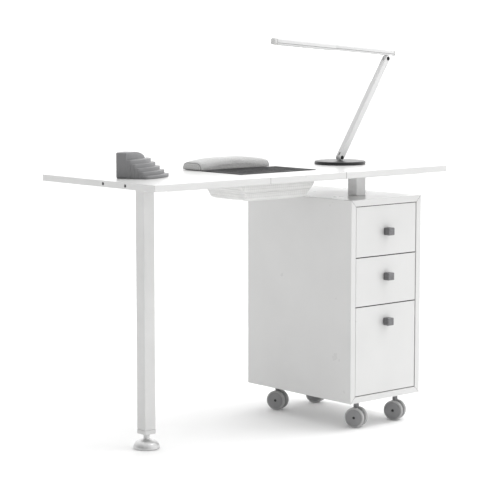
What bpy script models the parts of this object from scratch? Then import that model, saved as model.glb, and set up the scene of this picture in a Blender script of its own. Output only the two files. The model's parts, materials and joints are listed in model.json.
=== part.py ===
"""Manicure table: a three-board top on a square leg and a rolling drawer cabinet, with a dust
collector, a wrist cushion, a stepped bottle stand and a two-joint desk lamp.

Metres, +Z up. Sizes are worked out in the table's own frame, whose zero is the floor point below
the top's front left corner: +X runs right along the front edge, +Y runs back. The table_origin
empty moves everything so that the world origin is the floor point under the whole object's middle.
"""

import math

import bmesh
import bpy
from mathutils import Matrix, Vector

GAP = 0.0003  # clearance left between touching pieces

# Top
TOP_LENGTH = 1.135
TOP_DEPTH = 0.518
TOP_HEIGHT = 0.780
TOP_THICKNESS = 0.018
CENTRE_BOARD_LEFT = 0.4135
CENTRE_BOARD_WIDTH = 0.295
TOP_UNDERSIDE = TOP_HEIGHT - TOP_THICKNESS
TOP_FRAME_THICKNESS = 0.004
TOP_FRAME_BAR = 0.030
TOP_FRAME_INSET_X = 0.070
TOP_FRAME_INSET_Y = 0.030

# Dust collector, centred on COLLECTOR
COLLECTOR = Vector((CENTRE_BOARD_LEFT + CENTRE_BOARD_WIDTH / 2, 0.218))
CUT_OUT = (0.252, 0.148)
GRILLE = (0.293, 0.178, 0.0015)
GRILLE_SLOT = (0.004, 0.128)
GRILLE_SLOTS = 25
GRILLE_PITCH = 0.0098
TRAY = (0.248, 0.144)
TRAY_BOTTOM = 0.736
TRAY_WALL = 0.002
FAN_HOLE_RADIUS = 0.058
DUCT_HEIGHT = 0.028
MOTOR_RADIUS = 0.0165
MOTOR_HEIGHT = 0.012
IMPELLER_BLADES = 7
IMPELLER_RADIUS = 0.0555
BAG = (0.290, 0.185)
BAG_BOTTOM = 0.700
BAG_TAPER = (0.022, 0.004)
BAG_EDGE = 0.012
BAG_WALL = 0.0015

# Push buttons in the left end edge
BUTTON_YS = (0.130, 0.230)
BUTTON_RADIUS = 0.003
BUTTON_LENGTH = 0.012

# Leg
LEG_X = 0.168
LEG_Y = TOP_DEPTH / 2
TUBE = 0.038
TUBE_WALL = 0.002
LEG_PLATE = 0.100
LEG_CAP_BOTTOM = 0.043
LEG_CAP_TOP = 0.055
FOOT_RADIUS = 0.038
FOOT_NECK_RADIUS = 0.0095
FOOT_STEM_RADIUS = 0.005

# Cabinet
BOARD = 0.019
CABINET_LEFT = 0.757
CABINET_WIDTH = 0.295
CABINET_DEPTH = 0.463
CABINET_TOP = 0.692
CABINET_BOTTOM = 0.083
CABINET_FRONT = (TOP_DEPTH - CABINET_DEPTH) / 2
CABINET_MIDDLE_X = CABINET_LEFT + CABINET_WIDTH / 2
BACK_PANEL = 0.008
MITRE_GAP = 0.0008
POST_YS = (CABINET_FRONT + 0.129, CABINET_FRONT + 0.4025)

# Drawers, top to bottom: the front's height, and the knob's drop below the front's top edge
DRAWERS = ((0.150, 0.0787), (0.145, 0.0613), (0.266, 0.0505))
FRONT_GAP = 0.003
FRONT_THICKNESS = 0.016
FRONT_RECESS = 0.001
FRONT_SIDE_GAP = 0.0022
BOX_LENGTH = 0.400
BOX_WALL = 0.012
BOX_FLOOR = 0.008
BOX_LIFT = 0.012
BOX_DROP = 0.018
RUNNER_SPACE = 0.0135
RUNNER_THICKNESS = 0.0125
RUNNER_HEIGHT = 0.030
RUNNER_LENGTH = 0.390
RUNNER_SLOT = (0.008, 0.014)
RAIL_HEIGHT = 0.012
KNOB = (0.024, 0.0225, 0.0225)
KNOB_NECK = 0.001
KNOB_NECK_RADIUS = 0.0055

# Casters
WHEEL_RADIUS = 0.0305
WHEEL_THICKNESS = 0.0135
WHEEL_INNER = 0.0065
AXLE_RADIUS = 0.003
HOOD_RADIUS = 0.026
COLLAR_TOP_RADIUS = 0.0072
COLLAR_BOTTOM_RADIUS = 0.0085
COLLAR_BOTTOM = 0.0625
STEM_RADIUS = 0.0055
STEM_TOP = CABINET_BOTTOM + 0.011
STEM_INSET_X = 0.064
STEM_INSET_FRONT = 0.040
STEM_INSET_BACK = 0.070
CASTER_TURN = math.radians(-68.1)

# Lamp
LAMP_X = 0.936
LAMP_Y = 0.263
LAMP_BASE_RADIUS = 0.079
LAMP_BASE_THICKNESS = 0.010
LOWER_PIVOT_Z = 0.8001
ARM_LENGTH = 0.3616
ARM_LEAN = math.radians(33.3)
ARM_SECTION = (0.018, 0.019)
FORK_SLOT = 0.0075
TONGUE = (0.014, 0.0065)
PIN_RADIUS = 0.003
PIN_HOLE_RADIUS = 0.0034
PIN_HEAD_RADIUS = 0.006
HEAD_TILT = math.radians(4.4)
HEAD_TAIL = 0.034
HEAD_LENGTH = 0.516
HEAD_UNDERSIDE = 0.0098
HEAD_NARROW = (0.018, 0.018)
HEAD_WIDE = (0.020, 0.020)
HEAD_STEP = 0.229
SWITCH_AT = 0.043
SWITCH_RADIUS = 0.0045

# Wrist cushion and bottle stand, on the top
CUSHION = (0.285, 0.088, 0.031)
CUSHION_CENTRE = (0.555, 0.3575)
STAND_CORNER = (0.110, 0.176)
STAND_TURN = math.radians(26)
STAND_TREAD = 0.0125
STAND_LAP = 0.0015
STAND_TIERS = ((0.144, 0.0086), (0.141, 0.0192), (0.138, 0.0298), (0.1345, 0.0404), (0.131, 0.0510))
STAND_BULGE = 0.016
STAND_SMALL_CORNER = 0.0025
STAND_RIGHT_CORNER = (0.010, 0.014)
STAND_BLOCK = (0.120, 0.032, 0.072)
STAND_BLOCK_CORNER = 0.005
STAND_FALL = (0.080, 0.024)

ARM_TOP_X = LAMP_X + ARM_LENGTH * math.sin(ARM_LEAN)
HEAD_TOP = HEAD_UNDERSIDE + HEAD_NARROW[1]
OVERALL_LENGTH = ARM_TOP_X + HEAD_TAIL * math.cos(HEAD_TILT) + HEAD_TOP * math.sin(HEAD_TILT)

MATERIALS = {
    # name: (colour, metallic, roughness)
    "white_board": ((0.90, 0.90, 0.89), 0.0, 0.35),
    "drawer_board": ((0.86, 0.86, 0.85), 0.0, 0.5),
    "white_metal": ((0.88, 0.88, 0.88), 0.0, 0.3),
    "zinc_steel": ((0.62, 0.62, 0.63), 1.0, 0.35),
    "grey_metal": ((0.42, 0.42, 0.43), 1.0, 0.3),
    "black_plastic": ((0.02, 0.02, 0.02), 0.0, 0.4),
    "black_metal": ((0.02, 0.02, 0.02), 0.0, 0.25),
    "white_plastic": ((0.85, 0.85, 0.85), 0.0, 0.4),
    "grey_plastic": ((0.55, 0.55, 0.55), 0.0, 0.45),
    "wheel": ((0.45, 0.45, 0.46), 0.0, 0.5),
    "diffuser": ((0.95, 0.95, 0.92), 0.0, 0.5),
    "bag_cloth": ((0.80, 0.80, 0.79), 0.0, 0.9),
    "cushion_cover": ((0.78, 0.78, 0.77), 0.0, 0.6),
}

parts = None
tools = None


def clear_scene():
    for obj in list(bpy.data.objects):
        bpy.data.objects.remove(obj)


def make_collections():
    global parts, tools
    parts = bpy.data.collections.new("manicure_table")
    tools = bpy.data.collections.new("cutters")
    bpy.context.scene.collection.children.link(parts)
    bpy.context.scene.collection.children.link(tools)


def make_materials():
    for name, (colour, metallic, roughness) in MATERIALS.items():
        material = bpy.data.materials.new(name)
        material.use_nodes = True
        shader = material.node_tree.nodes["Principled BSDF"]
        shader.inputs["Base Color"].default_value = (*colour, 1)
        shader.inputs["Metallic"].default_value = metallic
        shader.inputs["Roughness"].default_value = roughness


def pivot(name, location, parent=None, turn=(0, 0, 0)):
    """An empty: a sub-assembly's own frame, on its joint's axis where it moves."""
    empty = bpy.data.objects.new(name, None)
    parts.objects.link(empty)
    empty.parent = parent
    empty.location = location
    empty.rotation_euler = turn
    return empty


def place(name, mesh, material, parent, location=(0, 0, 0), turn=(0, 0, 0)):
    obj = bpy.data.objects.new(name, mesh)
    parts.objects.link(obj)
    obj.parent = parent
    obj.location = location
    obj.rotation_euler = turn
    if not mesh.materials:
        mesh.materials.append(bpy.data.materials[material])
    return obj


def tool(mesh, parent, location=(0, 0, 0), turn=(0, 0, 0)):
    """A helper that a Boolean uses and a render leaves out."""
    obj = bpy.data.objects.new("tool", mesh)
    tools.objects.link(obj)
    obj.parent = parent
    obj.location = location
    obj.rotation_euler = turn
    obj.hide_render = True
    obj.display_type = "WIRE"
    return obj


def combine(obj, other, operation):
    boolean = obj.modifiers.new(operation.lower(), "BOOLEAN")
    boolean.operation = operation
    boolean.object = other


def cut(obj, *others):
    for other in others:
        combine(obj, other, "DIFFERENCE")


def join(obj, *others):
    for other in others:
        combine(obj, other, "UNION")


def bevel(obj, width, segments=2):
    modifier = obj.modifiers.new("bevel", "BEVEL")
    modifier.width = width
    modifier.segments = segments
    modifier.limit_method = "ANGLE"
    modifier.angle_limit = math.radians(40)


def to_mesh(bm, name="shape"):
    mesh = bpy.data.meshes.new(name)
    bm.to_mesh(mesh)
    bm.free()
    return mesh


def box(low, high):
    """A box between two corners."""
    low, high = Vector(low), Vector(high)
    bm = bmesh.new()
    bmesh.ops.create_cube(bm, size=1)
    bmesh.ops.scale(bm, vec=high - low, verts=bm.verts)
    bmesh.ops.translate(bm, vec=(low + high) / 2, verts=bm.verts)
    return to_mesh(bm)


def boxes(pairs):
    """Several separate boxes in one mesh, for a cutter."""
    bm = bmesh.new()
    for low, high in pairs:
        low, high = Vector(low), Vector(high)
        matrix = Matrix.Translation((low + high) / 2) @ Matrix.Diagonal((*(high - low), 1))
        bmesh.ops.create_cube(bm, size=1, matrix=matrix)
    return to_mesh(bm)


def square(centre, side, z_low, z_high):
    """An upright square bar round a centre line."""
    half = side / 2
    return box(
        (centre[0] - half, centre[1] - half, z_low), (centre[0] + half, centre[1] + half, z_high)
    )


def rod(radius, start, end, segments=20, end_radius=None):
    """A round rod between two points; with an end radius, it tapers."""
    start, end = Vector(start), Vector(end)
    turn = (end - start).to_track_quat("Z", "Y").to_matrix().to_4x4()
    bm = bmesh.new()
    bmesh.ops.create_cone(
        bm,
        cap_ends=True,
        segments=segments,
        radius1=radius,
        radius2=radius if end_radius is None else end_radius,
        depth=(end - start).length,
        matrix=Matrix.Translation((start + end) / 2) @ turn,
    )
    mesh = to_mesh(bm)
    smooth(mesh)
    return mesh


def smooth(mesh):
    mesh.shade_smooth()
    mesh.set_sharp_from_angle(angle=math.radians(35))


def outline(points, low, high, along="Z"):
    """A flat outline in X and Y, extruded from low to high; along Y, it stands up in X and Z."""
    curve = bpy.data.curves.new("outline", "CURVE")
    curve.dimensions = "2D"
    curve.fill_mode = "BOTH"
    curve.extrude = (high - low) / 2
    spline = curve.splines.new("POLY")
    spline.points.add(len(points) - 1)
    for point, (x, y) in zip(spline.points, points):
        point.co = (x, y, 0, 1)
    spline.use_cyclic_u = True
    holder = bpy.data.objects.new("outline", curve)
    tools.objects.link(holder)
    graph = bpy.context.evaluated_depsgraph_get()
    mesh = bpy.data.meshes.new_from_object(holder.evaluated_get(graph))
    bpy.data.objects.remove(holder)
    middle = (low + high) / 2
    if along == "Y":
        mesh.transform(Matrix.Translation((0, middle, 0)) @ Matrix.Rotation(math.pi / 2, 4, "X"))
    else:
        mesh.transform(Matrix.Translation((0, 0, middle)))
    bm = bmesh.new()
    bm.from_mesh(mesh)
    bmesh.ops.remove_doubles(bm, verts=bm.verts, dist=1e-6)
    bmesh.ops.recalc_face_normals(bm, faces=bm.faces)
    bm.to_mesh(mesh)
    bm.free()
    mesh.materials.clear()
    return mesh


def oval(centre, radii, start, end, steps):
    """Points on an ellipse, with angles in degrees."""
    angles = [math.radians(start + (end - start) * i / steps) for i in range(steps + 1)]
    return [(centre[0] + radii[0] * math.cos(a), centre[1] + radii[1] * math.sin(a)) for a in angles]


def arc(centre, radius, start, end, steps):
    return oval(centre, (radius, radius), start, end, steps)


def turned(name, profile, steps, material, parent, location=(0, 0, 0), turn=(0, 0, 0)):
    """A turned piece: radius and height pairs, down the outer side, turned round local Z."""
    mesh = bpy.data.meshes.new(name)
    edges = [(i, i + 1) for i in range(len(profile) - 1)]
    mesh.from_pydata([(radius, 0, height) for radius, height in profile], edges, [])
    obj = place(name, mesh, material, parent, location, turn)
    screw = obj.modifiers.new("screw", "SCREW")
    screw.steps = steps
    screw.render_steps = steps
    screw.use_merge_vertices = True
    screw.merge_threshold = 1e-5
    screw.use_smooth_shade = True
    return obj


def make_top(table):
    right = CENTRE_BOARD_LEFT + CENTRE_BOARD_WIDTH
    spans = {
        "tabletop_left": (0, CENTRE_BOARD_LEFT - GAP),
        "tabletop_centre": (CENTRE_BOARD_LEFT, right),
        "tabletop_right": (right + GAP, TOP_LENGTH),
    }
    boards = {}
    for name, (low, high) in spans.items():
        mesh = box((low, 0, TOP_UNDERSIDE), (high, TOP_DEPTH, TOP_HEIGHT))
        boards[name] = place(name, mesh, "white_board", table)
    half_x, half_y = CUT_OUT[0] / 2, CUT_OUT[1] / 2
    hole = box(
        (COLLECTOR.x - half_x, COLLECTOR.y - half_y, TOP_UNDERSIDE - 0.01),
        (COLLECTOR.x + half_x, COLLECTOR.y + half_y, TOP_HEIGHT + 0.01),
    )
    cut(boards["tabletop_centre"], tool(hole, table))
    middle = (TOP_HEIGHT + TOP_UNDERSIDE) / 2
    for y in BUTTON_YS:
        bore = rod(BUTTON_RADIUS + 0.0004, (-0.01, y, middle), (BUTTON_LENGTH + 0.004, y, middle))
        cut(boards["tabletop_left"], tool(bore, table))


def make_top_frame(table):
    """The flat steel frame that ties the three boards together from below."""
    high = TOP_UNDERSIDE - GAP
    low = high - TOP_FRAME_THICKNESS
    left, right = TOP_FRAME_INSET_X, TOP_LENGTH - TOP_FRAME_INSET_X
    front, back = TOP_FRAME_INSET_Y, TOP_DEPTH - TOP_FRAME_INSET_Y
    frame = place("top_frame", box((left, front, low), (right, back, high)), "white_metal", table)
    bars = (left, 0.345, 0.745, right - TOP_FRAME_BAR)
    windows = [
        (
            (start + TOP_FRAME_BAR, front + TOP_FRAME_BAR, low - 0.01),
            (end, back - TOP_FRAME_BAR, high + 0.01),
        )
        for start, end in zip(bars, bars[1:])
    ]
    cut(frame, tool(boxes(windows), table))


def make_buttons(table):
    middle = (TOP_HEIGHT + TOP_UNDERSIDE) / 2
    for name, y in zip(("fan_button", "light_button"), BUTTON_YS):
        mesh = rod(BUTTON_RADIUS, (0, 0, 0), (BUTTON_LENGTH, 0, 0))
        place(name, mesh, "black_plastic", table, (GAP, y, middle))


def make_leg(table):
    plate_top = TOP_UNDERSIDE - GAP
    tube_top = plate_top - TOP_FRAME_THICKNESS - GAP
    centre = (LEG_X, LEG_Y)
    plate = square(centre, LEG_PLATE, tube_top + GAP, plate_top)
    place("leg_plate", plate, "white_metal", table)
    tube = place("leg_tube", square(centre, TUBE, LEG_CAP_TOP + GAP, tube_top), "white_metal", table)
    inside = square(centre, TUBE - 2 * TUBE_WALL, LEG_CAP_TOP - 0.01, tube_top + 0.01)
    cut(tube, tool(inside, table))
    cap = place("leg_cap", square(centre, TUBE, LEG_CAP_BOTTOM, LEG_CAP_TOP), "white_plastic", table)
    plug = square(centre, TUBE - 2 * TUBE_WALL - 0.001, LEG_CAP_BOTTOM + 0.002, LEG_CAP_TOP + 0.020)
    join(cap, tool(plug, table))
    bore = rod(FOOT_STEM_RADIUS + 0.0005, (LEG_X, LEG_Y, 0.03), (LEG_X, LEG_Y, 0.09))
    cut(cap, tool(bore, table))
    neck_top = LEG_CAP_BOTTOM - GAP
    dome_steps = 7
    dome = [
        (
            FOOT_NECK_RADIUS + (FOOT_RADIUS - FOOT_NECK_RADIUS) * math.sin(t),
            0.005 + 0.022 * math.cos(t),
        )
        for t in (math.pi / 2 * i / dome_steps for i in range(dome_steps + 1))
    ]
    stem = [(0, 0.085), (FOOT_STEM_RADIUS, 0.085), (FOOT_STEM_RADIUS, neck_top)]
    profile = [*stem, (FOOT_NECK_RADIUS, neck_top), *dome, (FOOT_RADIUS - 0.0015, 0), (0, 0)]
    turned("levelling_foot", profile, 32, "grey_metal", table, (LEG_X, LEG_Y, 0))


def make_cabinet(table):
    cabinet = pivot("cabinet_origin", (CABINET_LEFT, CABINET_FRONT, CABINET_BOTTOM), table)
    width, height = CABINET_WIDTH, CABINET_TOP - CABINET_BOTTOM
    mitre = MITRE_GAP
    outlines = {
        "cabinet_left_side": [(0, 0), (BOARD, BOARD), (BOARD, height - BOARD), (0, height)],
        "cabinet_right_side": [
            (width, 0),
            (width, height),
            (width - BOARD, height - BOARD),
            (width - BOARD, BOARD),
        ],
        "cabinet_top": [
            (mitre, height),
            (BOARD + mitre, height - BOARD),
            (width - BOARD - mitre, height - BOARD),
            (width - mitre, height),
        ],
        "cabinet_bottom": [
            (mitre, 0),
            (width - mitre, 0),
            (width - BOARD - mitre, BOARD),
            (BOARD + mitre, BOARD),
        ],
    }
    for name, points in outlines.items():
        place(name, outline(points, 0, CABINET_DEPTH, along="Y"), "white_board", cabinet)
    back = box(
        (BOARD + GAP, CABINET_DEPTH - BACK_PANEL, BOARD + GAP),
        (width - BOARD - GAP, CABINET_DEPTH, height - BOARD - GAP),
    )
    place("cabinet_back", back, "white_board", cabinet)
    bottom = bpy.data.objects["cabinet_bottom"]
    for x, y in caster_places():
        local = (x - CABINET_LEFT, y - CABINET_FRONT)
        socket = rod(STEM_RADIUS + 0.0006, (*local, -0.01), (*local, 0.0135))
        cut(bottom, tool(socket, cabinet))
    for name, y in zip(("post_front", "post_rear"), POST_YS):
        centre = (CABINET_MIDDLE_X, y)
        post = place(
            name, square(centre, TUBE, CABINET_TOP + GAP, TOP_UNDERSIDE - GAP), "white_metal", table
        )
        inside = square(centre, TUBE - 2 * TUBE_WALL, CABINET_TOP - 0.01, TOP_UNDERSIDE + 0.01)
        cut(post, tool(inside, table))


def make_drawer(table, number, front_top, height, knob_drop):
    """One drawer in its own frame: X from the cabinet's middle, Y from the front's face, Z up."""
    name = f"drawer_{number}"
    low = front_top - height
    drawer = pivot(name + "_slide", (CABINET_MIDDLE_X, CABINET_FRONT + FRONT_RECESS, low), table)
    inner_half = CABINET_WIDTH / 2 - BOARD
    front_half = inner_half - FRONT_SIDE_GAP
    front = box((-front_half, 0, 0), (front_half, FRONT_THICKNESS, height))
    bevel(place(name + "_front", front, "white_board", drawer), 0.0008, 1)

    box_front = FRONT_THICKNESS + GAP
    box_half = inner_half - RUNNER_SPACE
    shell = box((-box_half, box_front, BOX_LIFT), (box_half, box_front + BOX_LENGTH, height - BOX_DROP))
    drawer_box = place(name + "_box", shell, "drawer_board", drawer)
    inside = box(
        (-box_half + BOX_WALL, box_front + BOX_WALL, BOX_LIFT + BOX_FLOOR),
        (box_half - BOX_WALL, box_front + BOX_LENGTH - BOX_WALL, height),
    )
    rail_z = BOX_LIFT + RUNNER_HEIGHT
    rail_reach = RUNNER_SPACE - RUNNER_THICKNESS + RUNNER_SLOT[0] - 0.0014
    for side in (-1, 1):
        near, far = sorted((side * (box_half - 0.004), side * (box_half + rail_reach)))
        rail = box(
            (near, box_front + 0.002, rail_z - RAIL_HEIGHT / 2),
            (far, box_front + 0.002 + RUNNER_LENGTH, rail_z + RAIL_HEIGHT / 2),
        )
        join(drawer_box, tool(rail, drawer))
    cut(drawer_box, tool(inside, drawer))

    make_knob(drawer, name + "_knob", height - knob_drop)
    for side, side_name in ((-1, "left"), (1, "right")):
        make_runner(table, f"{name}_runner_{side_name}", side, low + rail_z)


def make_knob(drawer, name, height):
    width, depth, tall = KNOB
    knob = pivot(name + "_place", (0, 0, height), drawer)
    block = box((-width / 2, -KNOB_NECK - depth, -tall / 2), (width / 2, -KNOB_NECK, tall / 2))
    neck = rod(KNOB_NECK_RADIUS, (0, -KNOB_NECK - 0.004, 0), (0, -GAP, 0), 16)
    obj = place(name, block, "grey_metal", knob)
    bevel(obj, 0.0015)
    join(obj, tool(neck, knob))


def make_runner(table, name, side, z):
    """A C-shaped channel on the cabinet's side wall, open towards the drawer."""
    wall = CABINET_WIDTH / 2 - BOARD - GAP
    depth, slot = RUNNER_SLOT
    half = RUNNER_HEIGHT / 2
    inner = wall - RUNNER_THICKNESS + GAP
    points = [
        (wall, -half),
        (wall, half),
        (inner, half),
        (inner, slot / 2),
        (inner + depth, slot / 2),
        (inner + depth, -slot / 2),
        (inner, -slot / 2),
        (inner, -half),
    ]
    points = [(side * x, y) for x, y in points]
    start = FRONT_RECESS + FRONT_THICKNESS + 0.003
    channel = outline(points, start, start + RUNNER_LENGTH, along="Y")
    place(name, channel, "zinc_steel", table, (CABINET_MIDDLE_X, CABINET_FRONT, z))


def make_drawers(table):
    front_top = CABINET_TOP - BOARD - 0.002
    for number, (height, knob_drop) in enumerate(DRAWERS, 1):
        make_drawer(table, number, front_top, height, knob_drop)
        front_top -= height + FRONT_GAP


def caster_places():
    xs = (CABINET_LEFT + STEM_INSET_X, CABINET_LEFT + CABINET_WIDTH - STEM_INSET_X)
    ys = (CABINET_FRONT + STEM_INSET_FRONT, CABINET_FRONT + CABINET_DEPTH - STEM_INSET_BACK)
    return [(x, y) for y in ys for x in xs]


def make_caster(table, name, x, y):
    """A twin-wheel caster: its frame has Z on the swivel axis and Y along the axle."""
    swivel = pivot(name + "_swivel", (x, y, 0), table, (0, 0, CASTER_TURN))
    axle_z = WHEEL_RADIUS
    disc = rod(HOOD_RADIUS, (0, -0.005, axle_z), (0, 0.005, axle_z), 24)
    hood = place(name + "_hood", disc, "grey_plastic", swivel)
    axle_half = WHEEL_INNER + WHEEL_THICKNESS - 0.004
    axle = rod(AXLE_RADIUS, (0, -axle_half, axle_z), (0, axle_half, axle_z), 12)
    stem = rod(STEM_RADIUS, (0, 0, axle_z), (0, 0, STEM_TOP), 16)
    collar_low, collar_high = (0, 0, COLLAR_BOTTOM), (0, 0, CABINET_BOTTOM - GAP)
    collar = rod(COLLAR_BOTTOM_RADIUS, collar_low, collar_high, 20, COLLAR_TOP_RADIUS)
    join(hood, tool(axle, swivel), tool(stem, swivel), tool(collar, swivel))

    thickness, bore = WHEEL_THICKNESS, AXLE_RADIUS + 0.0004
    profile = [
        (0, thickness - 0.0015),
        (0.006, thickness - 0.0015),
        (0.008, thickness - 0.003),
        (0.022, thickness - 0.002),
        (0.0235, thickness),
        (WHEEL_RADIUS - 0.003, thickness),
        (WHEEL_RADIUS, thickness - 0.0025),
        (WHEEL_RADIUS, 0.0015),
        (WHEEL_RADIUS - 0.0015, 0),
        (bore, 0),
        (bore, thickness - 0.0035),
        (0, thickness - 0.0035),
    ]
    for side, side_name in ((-1, "a"), (1, "b")):
        turned(
            f"{name}_wheel_{side_name}",
            profile,
            24,
            "wheel",
            swivel,
            (0, side * WHEEL_INNER, axle_z),
            (-side * math.pi / 2, 0, 0),
        )


def make_casters(table):
    names = ("front_left", "front_right", "rear_left", "rear_right")
    for name, (x, y) in zip(names, caster_places()):
        make_caster(table, "caster_" + name, x, y)


def make_grille(collector):
    width, depth, thickness = GRILLE
    low = TOP_HEIGHT + GAP
    plate = box((-width / 2, -depth / 2, low), (width / 2, depth / 2, low + thickness))
    grille = place("collector_grille", plate, "black_metal", collector)
    slot_x, slot_y = GRILLE_SLOT[0] / 2, GRILLE_SLOT[1] / 2
    centres = [GRILLE_PITCH * (i - (GRILLE_SLOTS - 1) / 2) for i in range(GRILLE_SLOTS)]
    slots = [((x - slot_x, -slot_y, low - 0.01), (x + slot_x, slot_y, low + 0.01)) for x in centres]
    cut(grille, tool(boxes(slots), collector))


def make_tray(collector):
    """The moulded housing below the grille: an open tray whose floor holds the fan's duct."""
    half_x, half_y = TRAY[0] / 2, TRAY[1] / 2
    top = TOP_HEIGHT - 0.0005
    floor = TRAY_BOTTOM + TRAY_WALL
    shell = box((-half_x, -half_y, TRAY_BOTTOM), (half_x, half_y, top))
    tray = place("collector_tray", shell, "black_plastic", collector)
    inside_x, inside_y = half_x - TRAY_WALL, half_y - TRAY_WALL
    inside = box((-inside_x, -inside_y, floor), (inside_x, inside_y, top + 0.01))
    cut(tray, tool(inside, collector))
    duct_low, duct_high = (0, 0, TRAY_BOTTOM + 0.001), (0, 0, TRAY_BOTTOM + DUCT_HEIGHT)
    duct = rod(FAN_HOLE_RADIUS + TRAY_WALL, duct_low, duct_high, 40)
    hole = rod(FAN_HOLE_RADIUS, (0, 0, TRAY_BOTTOM - 0.01), (0, 0, TRAY_BOTTOM + 0.04), 40)
    join(tray, tool(duct, collector))
    cut(tray, tool(hole, collector))
    seat = rod(MOTOR_RADIUS + 0.0015, (0, 0, TRAY_BOTTOM), (0, 0, floor), 24)
    join(tray, tool(seat, collector))
    for angle in (90, 210, 330):
        spoke = box((0.010, -0.003, TRAY_BOTTOM), (FAN_HOLE_RADIUS + 0.001, 0.003, floor))
        join(tray, tool(spoke, collector, turn=(0, 0, math.radians(angle))))


def make_fan(collector):
    base = TRAY_BOTTOM + TRAY_WALL + GAP
    top = base + MOTOR_HEIGHT
    shaft_top = top + 0.010
    profile = [
        (0, shaft_top),
        (0.002, shaft_top),
        (0.002, top),
        (MOTOR_RADIUS - 0.001, top),
        (MOTOR_RADIUS, top - 0.001),
        (MOTOR_RADIUS, base),
        (0, base),
    ]
    turned("fan_motor", profile, 24, "zinc_steel", collector)

    hub_low, hub_high = top + 0.0008, top + 0.0125
    spin = pivot("fan_spin", (0, 0, 0), collector)
    hub = turned(
        "fan_impeller",
        [
            (0, hub_high),
            (0.017, hub_high),
            (0.019, hub_high - 0.002),
            (0.019, hub_low),
            (0.0024, hub_low),
            (0.0024, shaft_top + 0.0006),
            (0, shaft_top + 0.0006),
        ],
        28,
        "black_plastic",
        spin,
    )
    middle = (hub_low + hub_high) / 2
    for i in range(IMPELLER_BLADES):
        blade = box((0.016, -0.009, -0.0007), (IMPELLER_RADIUS, 0.009, 0.0007))
        blade.transform(Matrix.Rotation(math.radians(28), 4, "X"))
        turn = (0, 0, 2 * math.pi * i / IMPELLER_BLADES)
        join(hub, tool(blade, spin, (0, 0, middle), turn))


def make_bag(collector):
    """The cloth bag: an open shell that tapers downwards, hung below the top round the tray."""
    half_x, half_y = BAG[0] / 2, BAG[1] / 2
    top = TOP_UNDERSIDE - GAP
    bm = bmesh.new()
    bmesh.ops.create_cube(bm, size=2)
    bm.faces.ensure_lookup_table()
    lid = [face for face in bm.faces if face.normal.z > 0.9]
    bmesh.ops.delete(bm, geom=lid, context="FACES_ONLY")
    for vert in bm.verts:
        inset_x, inset_y = BAG_TAPER if vert.co.z < 0 else (0, 0)
        vert.co.x *= half_x - inset_x
        vert.co.y *= half_y - inset_y
        vert.co.z = BAG_BOTTOM if vert.co.z < 0 else top
    bmesh.ops.recalc_face_normals(bm, faces=bm.faces)
    edges = [edge for edge in bm.edges if len(edge.link_faces) == 2]
    bmesh.ops.bevel(bm, geom=edges, offset=BAG_EDGE, segments=4, profile=0.5, affect="EDGES")
    mesh = to_mesh(bm)
    smooth(mesh)
    bag = place("dust_bag", mesh, "bag_cloth", collector)
    shell = bag.modifiers.new("cloth", "SOLIDIFY")
    shell.thickness = BAG_WALL
    shell.offset = -1


def make_collector(table):
    collector = pivot("collector_origin", (COLLECTOR.x, COLLECTOR.y, 0), table)
    make_grille(collector)
    make_tray(collector)
    make_fan(collector)
    make_bag(collector)


def lamp_pin(name, parent):
    """A pivot pin across the arm, with a flat head proud of each side."""
    half = ARM_SECTION[1] / 2 + GAP
    head = 0.0012
    profile = [
        (0, half + head),
        (PIN_HEAD_RADIUS, half + head),
        (PIN_HEAD_RADIUS, half),
        (PIN_RADIUS, half),
        (PIN_RADIUS, -half),
        (PIN_HEAD_RADIUS, -half),
        (PIN_HEAD_RADIUS, -half - head),
        (0, -half - head),
    ]
    turned(name, profile, 20, "black_metal", parent, turn=(math.pi / 2, 0, 0))


def make_lamp_base(table):
    base = pivot("lamp_origin", (LAMP_X, LAMP_Y, TOP_HEIGHT + GAP), table)
    thickness, radius = LAMP_BASE_THICKNESS, LAMP_BASE_RADIUS
    profile = [
        (0, thickness - 0.004),
        (0.0163, thickness - 0.004),
        (0.0163, thickness),
        (radius - 0.003, thickness),
        (radius - 0.0008, thickness - 0.001),
        (radius, thickness - 0.003),
        (radius, 0.001),
        (radius - 0.001, 0),
        (0, 0),
    ]
    disc = turned("lamp_base", profile, 56, "black_metal", base)
    inlet_y = radius - 0.010
    bore = rod(0.0033, (0, inlet_y, 0.0052), (0, radius + 0.01, 0.0052), 16)
    cut(disc, tool(bore, base))
    inlet = rod(0.0029, (0, inlet_y + GAP, 0.0052), (0, radius + 0.001, 0.0052), 16)
    place("lamp_power_inlet", inlet, "black_plastic", base)
    return base


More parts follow.
